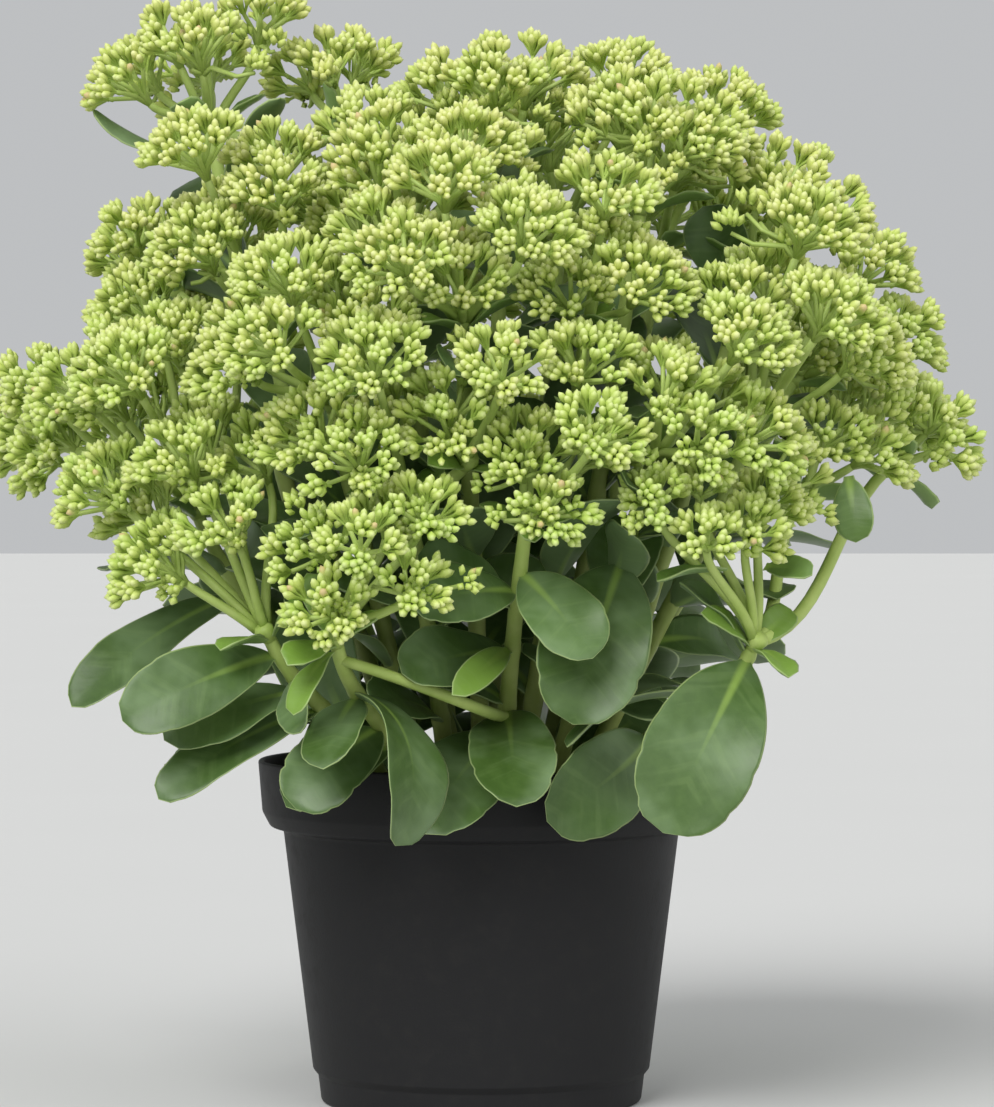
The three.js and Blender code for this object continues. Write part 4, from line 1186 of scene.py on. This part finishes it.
bud_green = Finish("bud_green", IOR=1.42)
rise, tone, blush, ripe = (bud_green.reading(name) for name in ("rise", "tone", "blush", "ripe"))
calyx_colour = ripe.mix(colour(186, 210, 102), colour(202, 214, 116))
green_petal = tone.mix(colour(186, 208, 102), colour(192, 214, 116))
ripe_petal = tone.mix(colour(198, 208, 110), colour(212, 216, 134))
tip_colour = ripe.mix(colour(204, 220, 142), colour(226, 228, 162))
body = rise.step(0.05, 0.4).mix(colour(178, 202, 102), calyx_colour)
body = rise.step(0.35, 0.75).mix(body, ripe.mix(green_petal, ripe_petal))
body = rise.step(0.8, 1.0).mix(body, tip_colour)
bud_green.set(
    Base_Color=(blush * rise.step(0.5, 1.0)).mix(body, colour(206, 166, 126)),
    Roughness=0.46 + 0.12 * bud_green.grain(900, 2.0),
)


def bud_shape(sides, places, radii, rises):
    """One kind of bud: its rings, each with a place, a radius and a rise, up to its point, and its faces."""
    ring = np.arange(sides)
    last = (len(places) - 2) * sides
    point = np.stack([last + ring, last + (ring + 1) % sides, np.full(sides, last + sides)], 1)
    faces, angles = [skin_faces(sides, len(places) - 1)[0], point], ring * 2 * math.pi / sides
    return SimpleNamespace(angles=angles, places=places, radii=radii, rises=rises, faces=faces)


full_bud = bud_shape(5, [-5.2, 0.0, 2.2, 4.0, 5.3], [0.5, 0.75, 1.66, 1.2], [0.0, 0.2, 0.55, 0.86, 1.0])
plain_bud = bud_shape(4, [0.0, 2.6, 5.2], [0.7, 1.75], [0.1, 0.6, 1.0])
for s in range(len(stems)):
    heap = Heap()
    for row in buds[buds[:, 7] == s]:
        way, reach, node, (ripeness, inner) = row[:3], row[3], row[4:7], row[8:]
        shape = plain_bud if inner else full_bud
        size = 1 + BUD_VARIATION * float(np.clip(spin.standard_normal(), -2, 2))
        right, up = basis(way)
        swing = shape.angles + spin.uniform(0, 2 * math.pi)
        circle = np.outer(np.cos(swing), right) + np.outer(np.sin(swing), up)
        foot = reach - BUD_LENGTH * size
        middles = [node + way * (foot + place * size) for place in shape.places]
        rings = [middle + circle * radius * size for middle, radius in zip(middles, shape.radii)]
        rises = [*np.repeat(shape.rises[:-1], len(shape.angles)), shape.rises[-1]]
        tone, flushed = spin.uniform(), spin.uniform() > FLUSHED
        points = np.concatenate([*rings, middles[-1][None]])
        numbers = {"rise": rises, "tone": tone, "ripe": ripeness, "blush": BLUSH * flushed}
        heap.add(points, shape.faces, numbers)
    settle(heap.piece(f"buds_{s + 1:02d}", bud_green), "bud", f"flower_head_{s + 1:02d}")

# ---- The studio ------------------------------------------------------------------------------------------
# A pale paper floor under two soft suns, the stronger one from the front and left and a weak one from the
# right, and an even pale surround. The camera stands level with the plant's middle, under two metres away.

FLOOR_REACH = 9000
FLOOR_DROP = -0.2
SURROUND_COLOUR = (0.9, 0.92, 0.94, 1)
SURROUND_STRENGTH = 0.57
CAMERA_PLACE = (0.006, -1.8, 0.25)
CAMERA_AIM = (0.006, 0.0, 0.2083)
PICTURE_HEIGHT = 0.4218
SENSOR = 36


def aim(made, place, target):
    made.location = place
    way = np.array(target, float) - np.array(place, float)
    made.rotation_euler = (math.atan2(math.hypot(way[0], way[1]), -way[2]), 0, math.atan2(-way[0], way[1]))
    bpy.context.scene.collection.objects.link(made)


def soft_sun(name, target, strength, spread):
    light = bpy.data.lights.new(name, "SUN")
    light.energy, light.angle = strength, spread
    aim(bpy.data.objects.new(name, light), (0, 0, 1), target)


paper = Finish("paper_floor", IOR=1.4)
fibres = 0.3 * paper.grain(3, 2.0)
paper.set(Base_Color=fibres.mix(colour(208, 208, 206), colour(200, 200, 198)), Roughness=0.9)
sides = ((-1, -1), (1, -1), (1, 1), (-1, 1))
floor_corners = [(x * FLOOR_REACH, y * FLOOR_REACH, FLOOR_DROP) for x, y in sides]
floor = make_piece("floor", floor_corners, [[[0, 1, 2, 3]]], paper)

world = bpy.data.worlds.new("surround")
bpy.context.scene.world = world
world.use_nodes = True
surround = world.node_tree.nodes["Background"].inputs
surround["Color"].default_value = SURROUND_COLOUR
surround["Strength"].default_value = SURROUND_STRENGTH
soft_sun("key_light", (0.5, 1.0, 0.0), 2.4, 0.6)
soft_sun("fill_light", (-0.9, 0.8, 0.5), 0.7, 1.0)

lens = bpy.data.cameras.new("camera")
lens.sensor_width = SENSOR
tilt = math.atan2(CAMERA_PLACE[2] - CAMERA_AIM[2], abs(CAMERA_PLACE[1]))
lens.lens = SENSOR * abs(CAMERA_PLACE[1]) / PICTURE_HEIGHT / math.cos(tilt)
camera = bpy.data.objects.new("camera", lens)
aim(camera, CAMERA_PLACE, CAMERA_AIM)
bpy.context.scene.camera = camera
bpy.context.scene.view_settings.view_transform = "Standard"
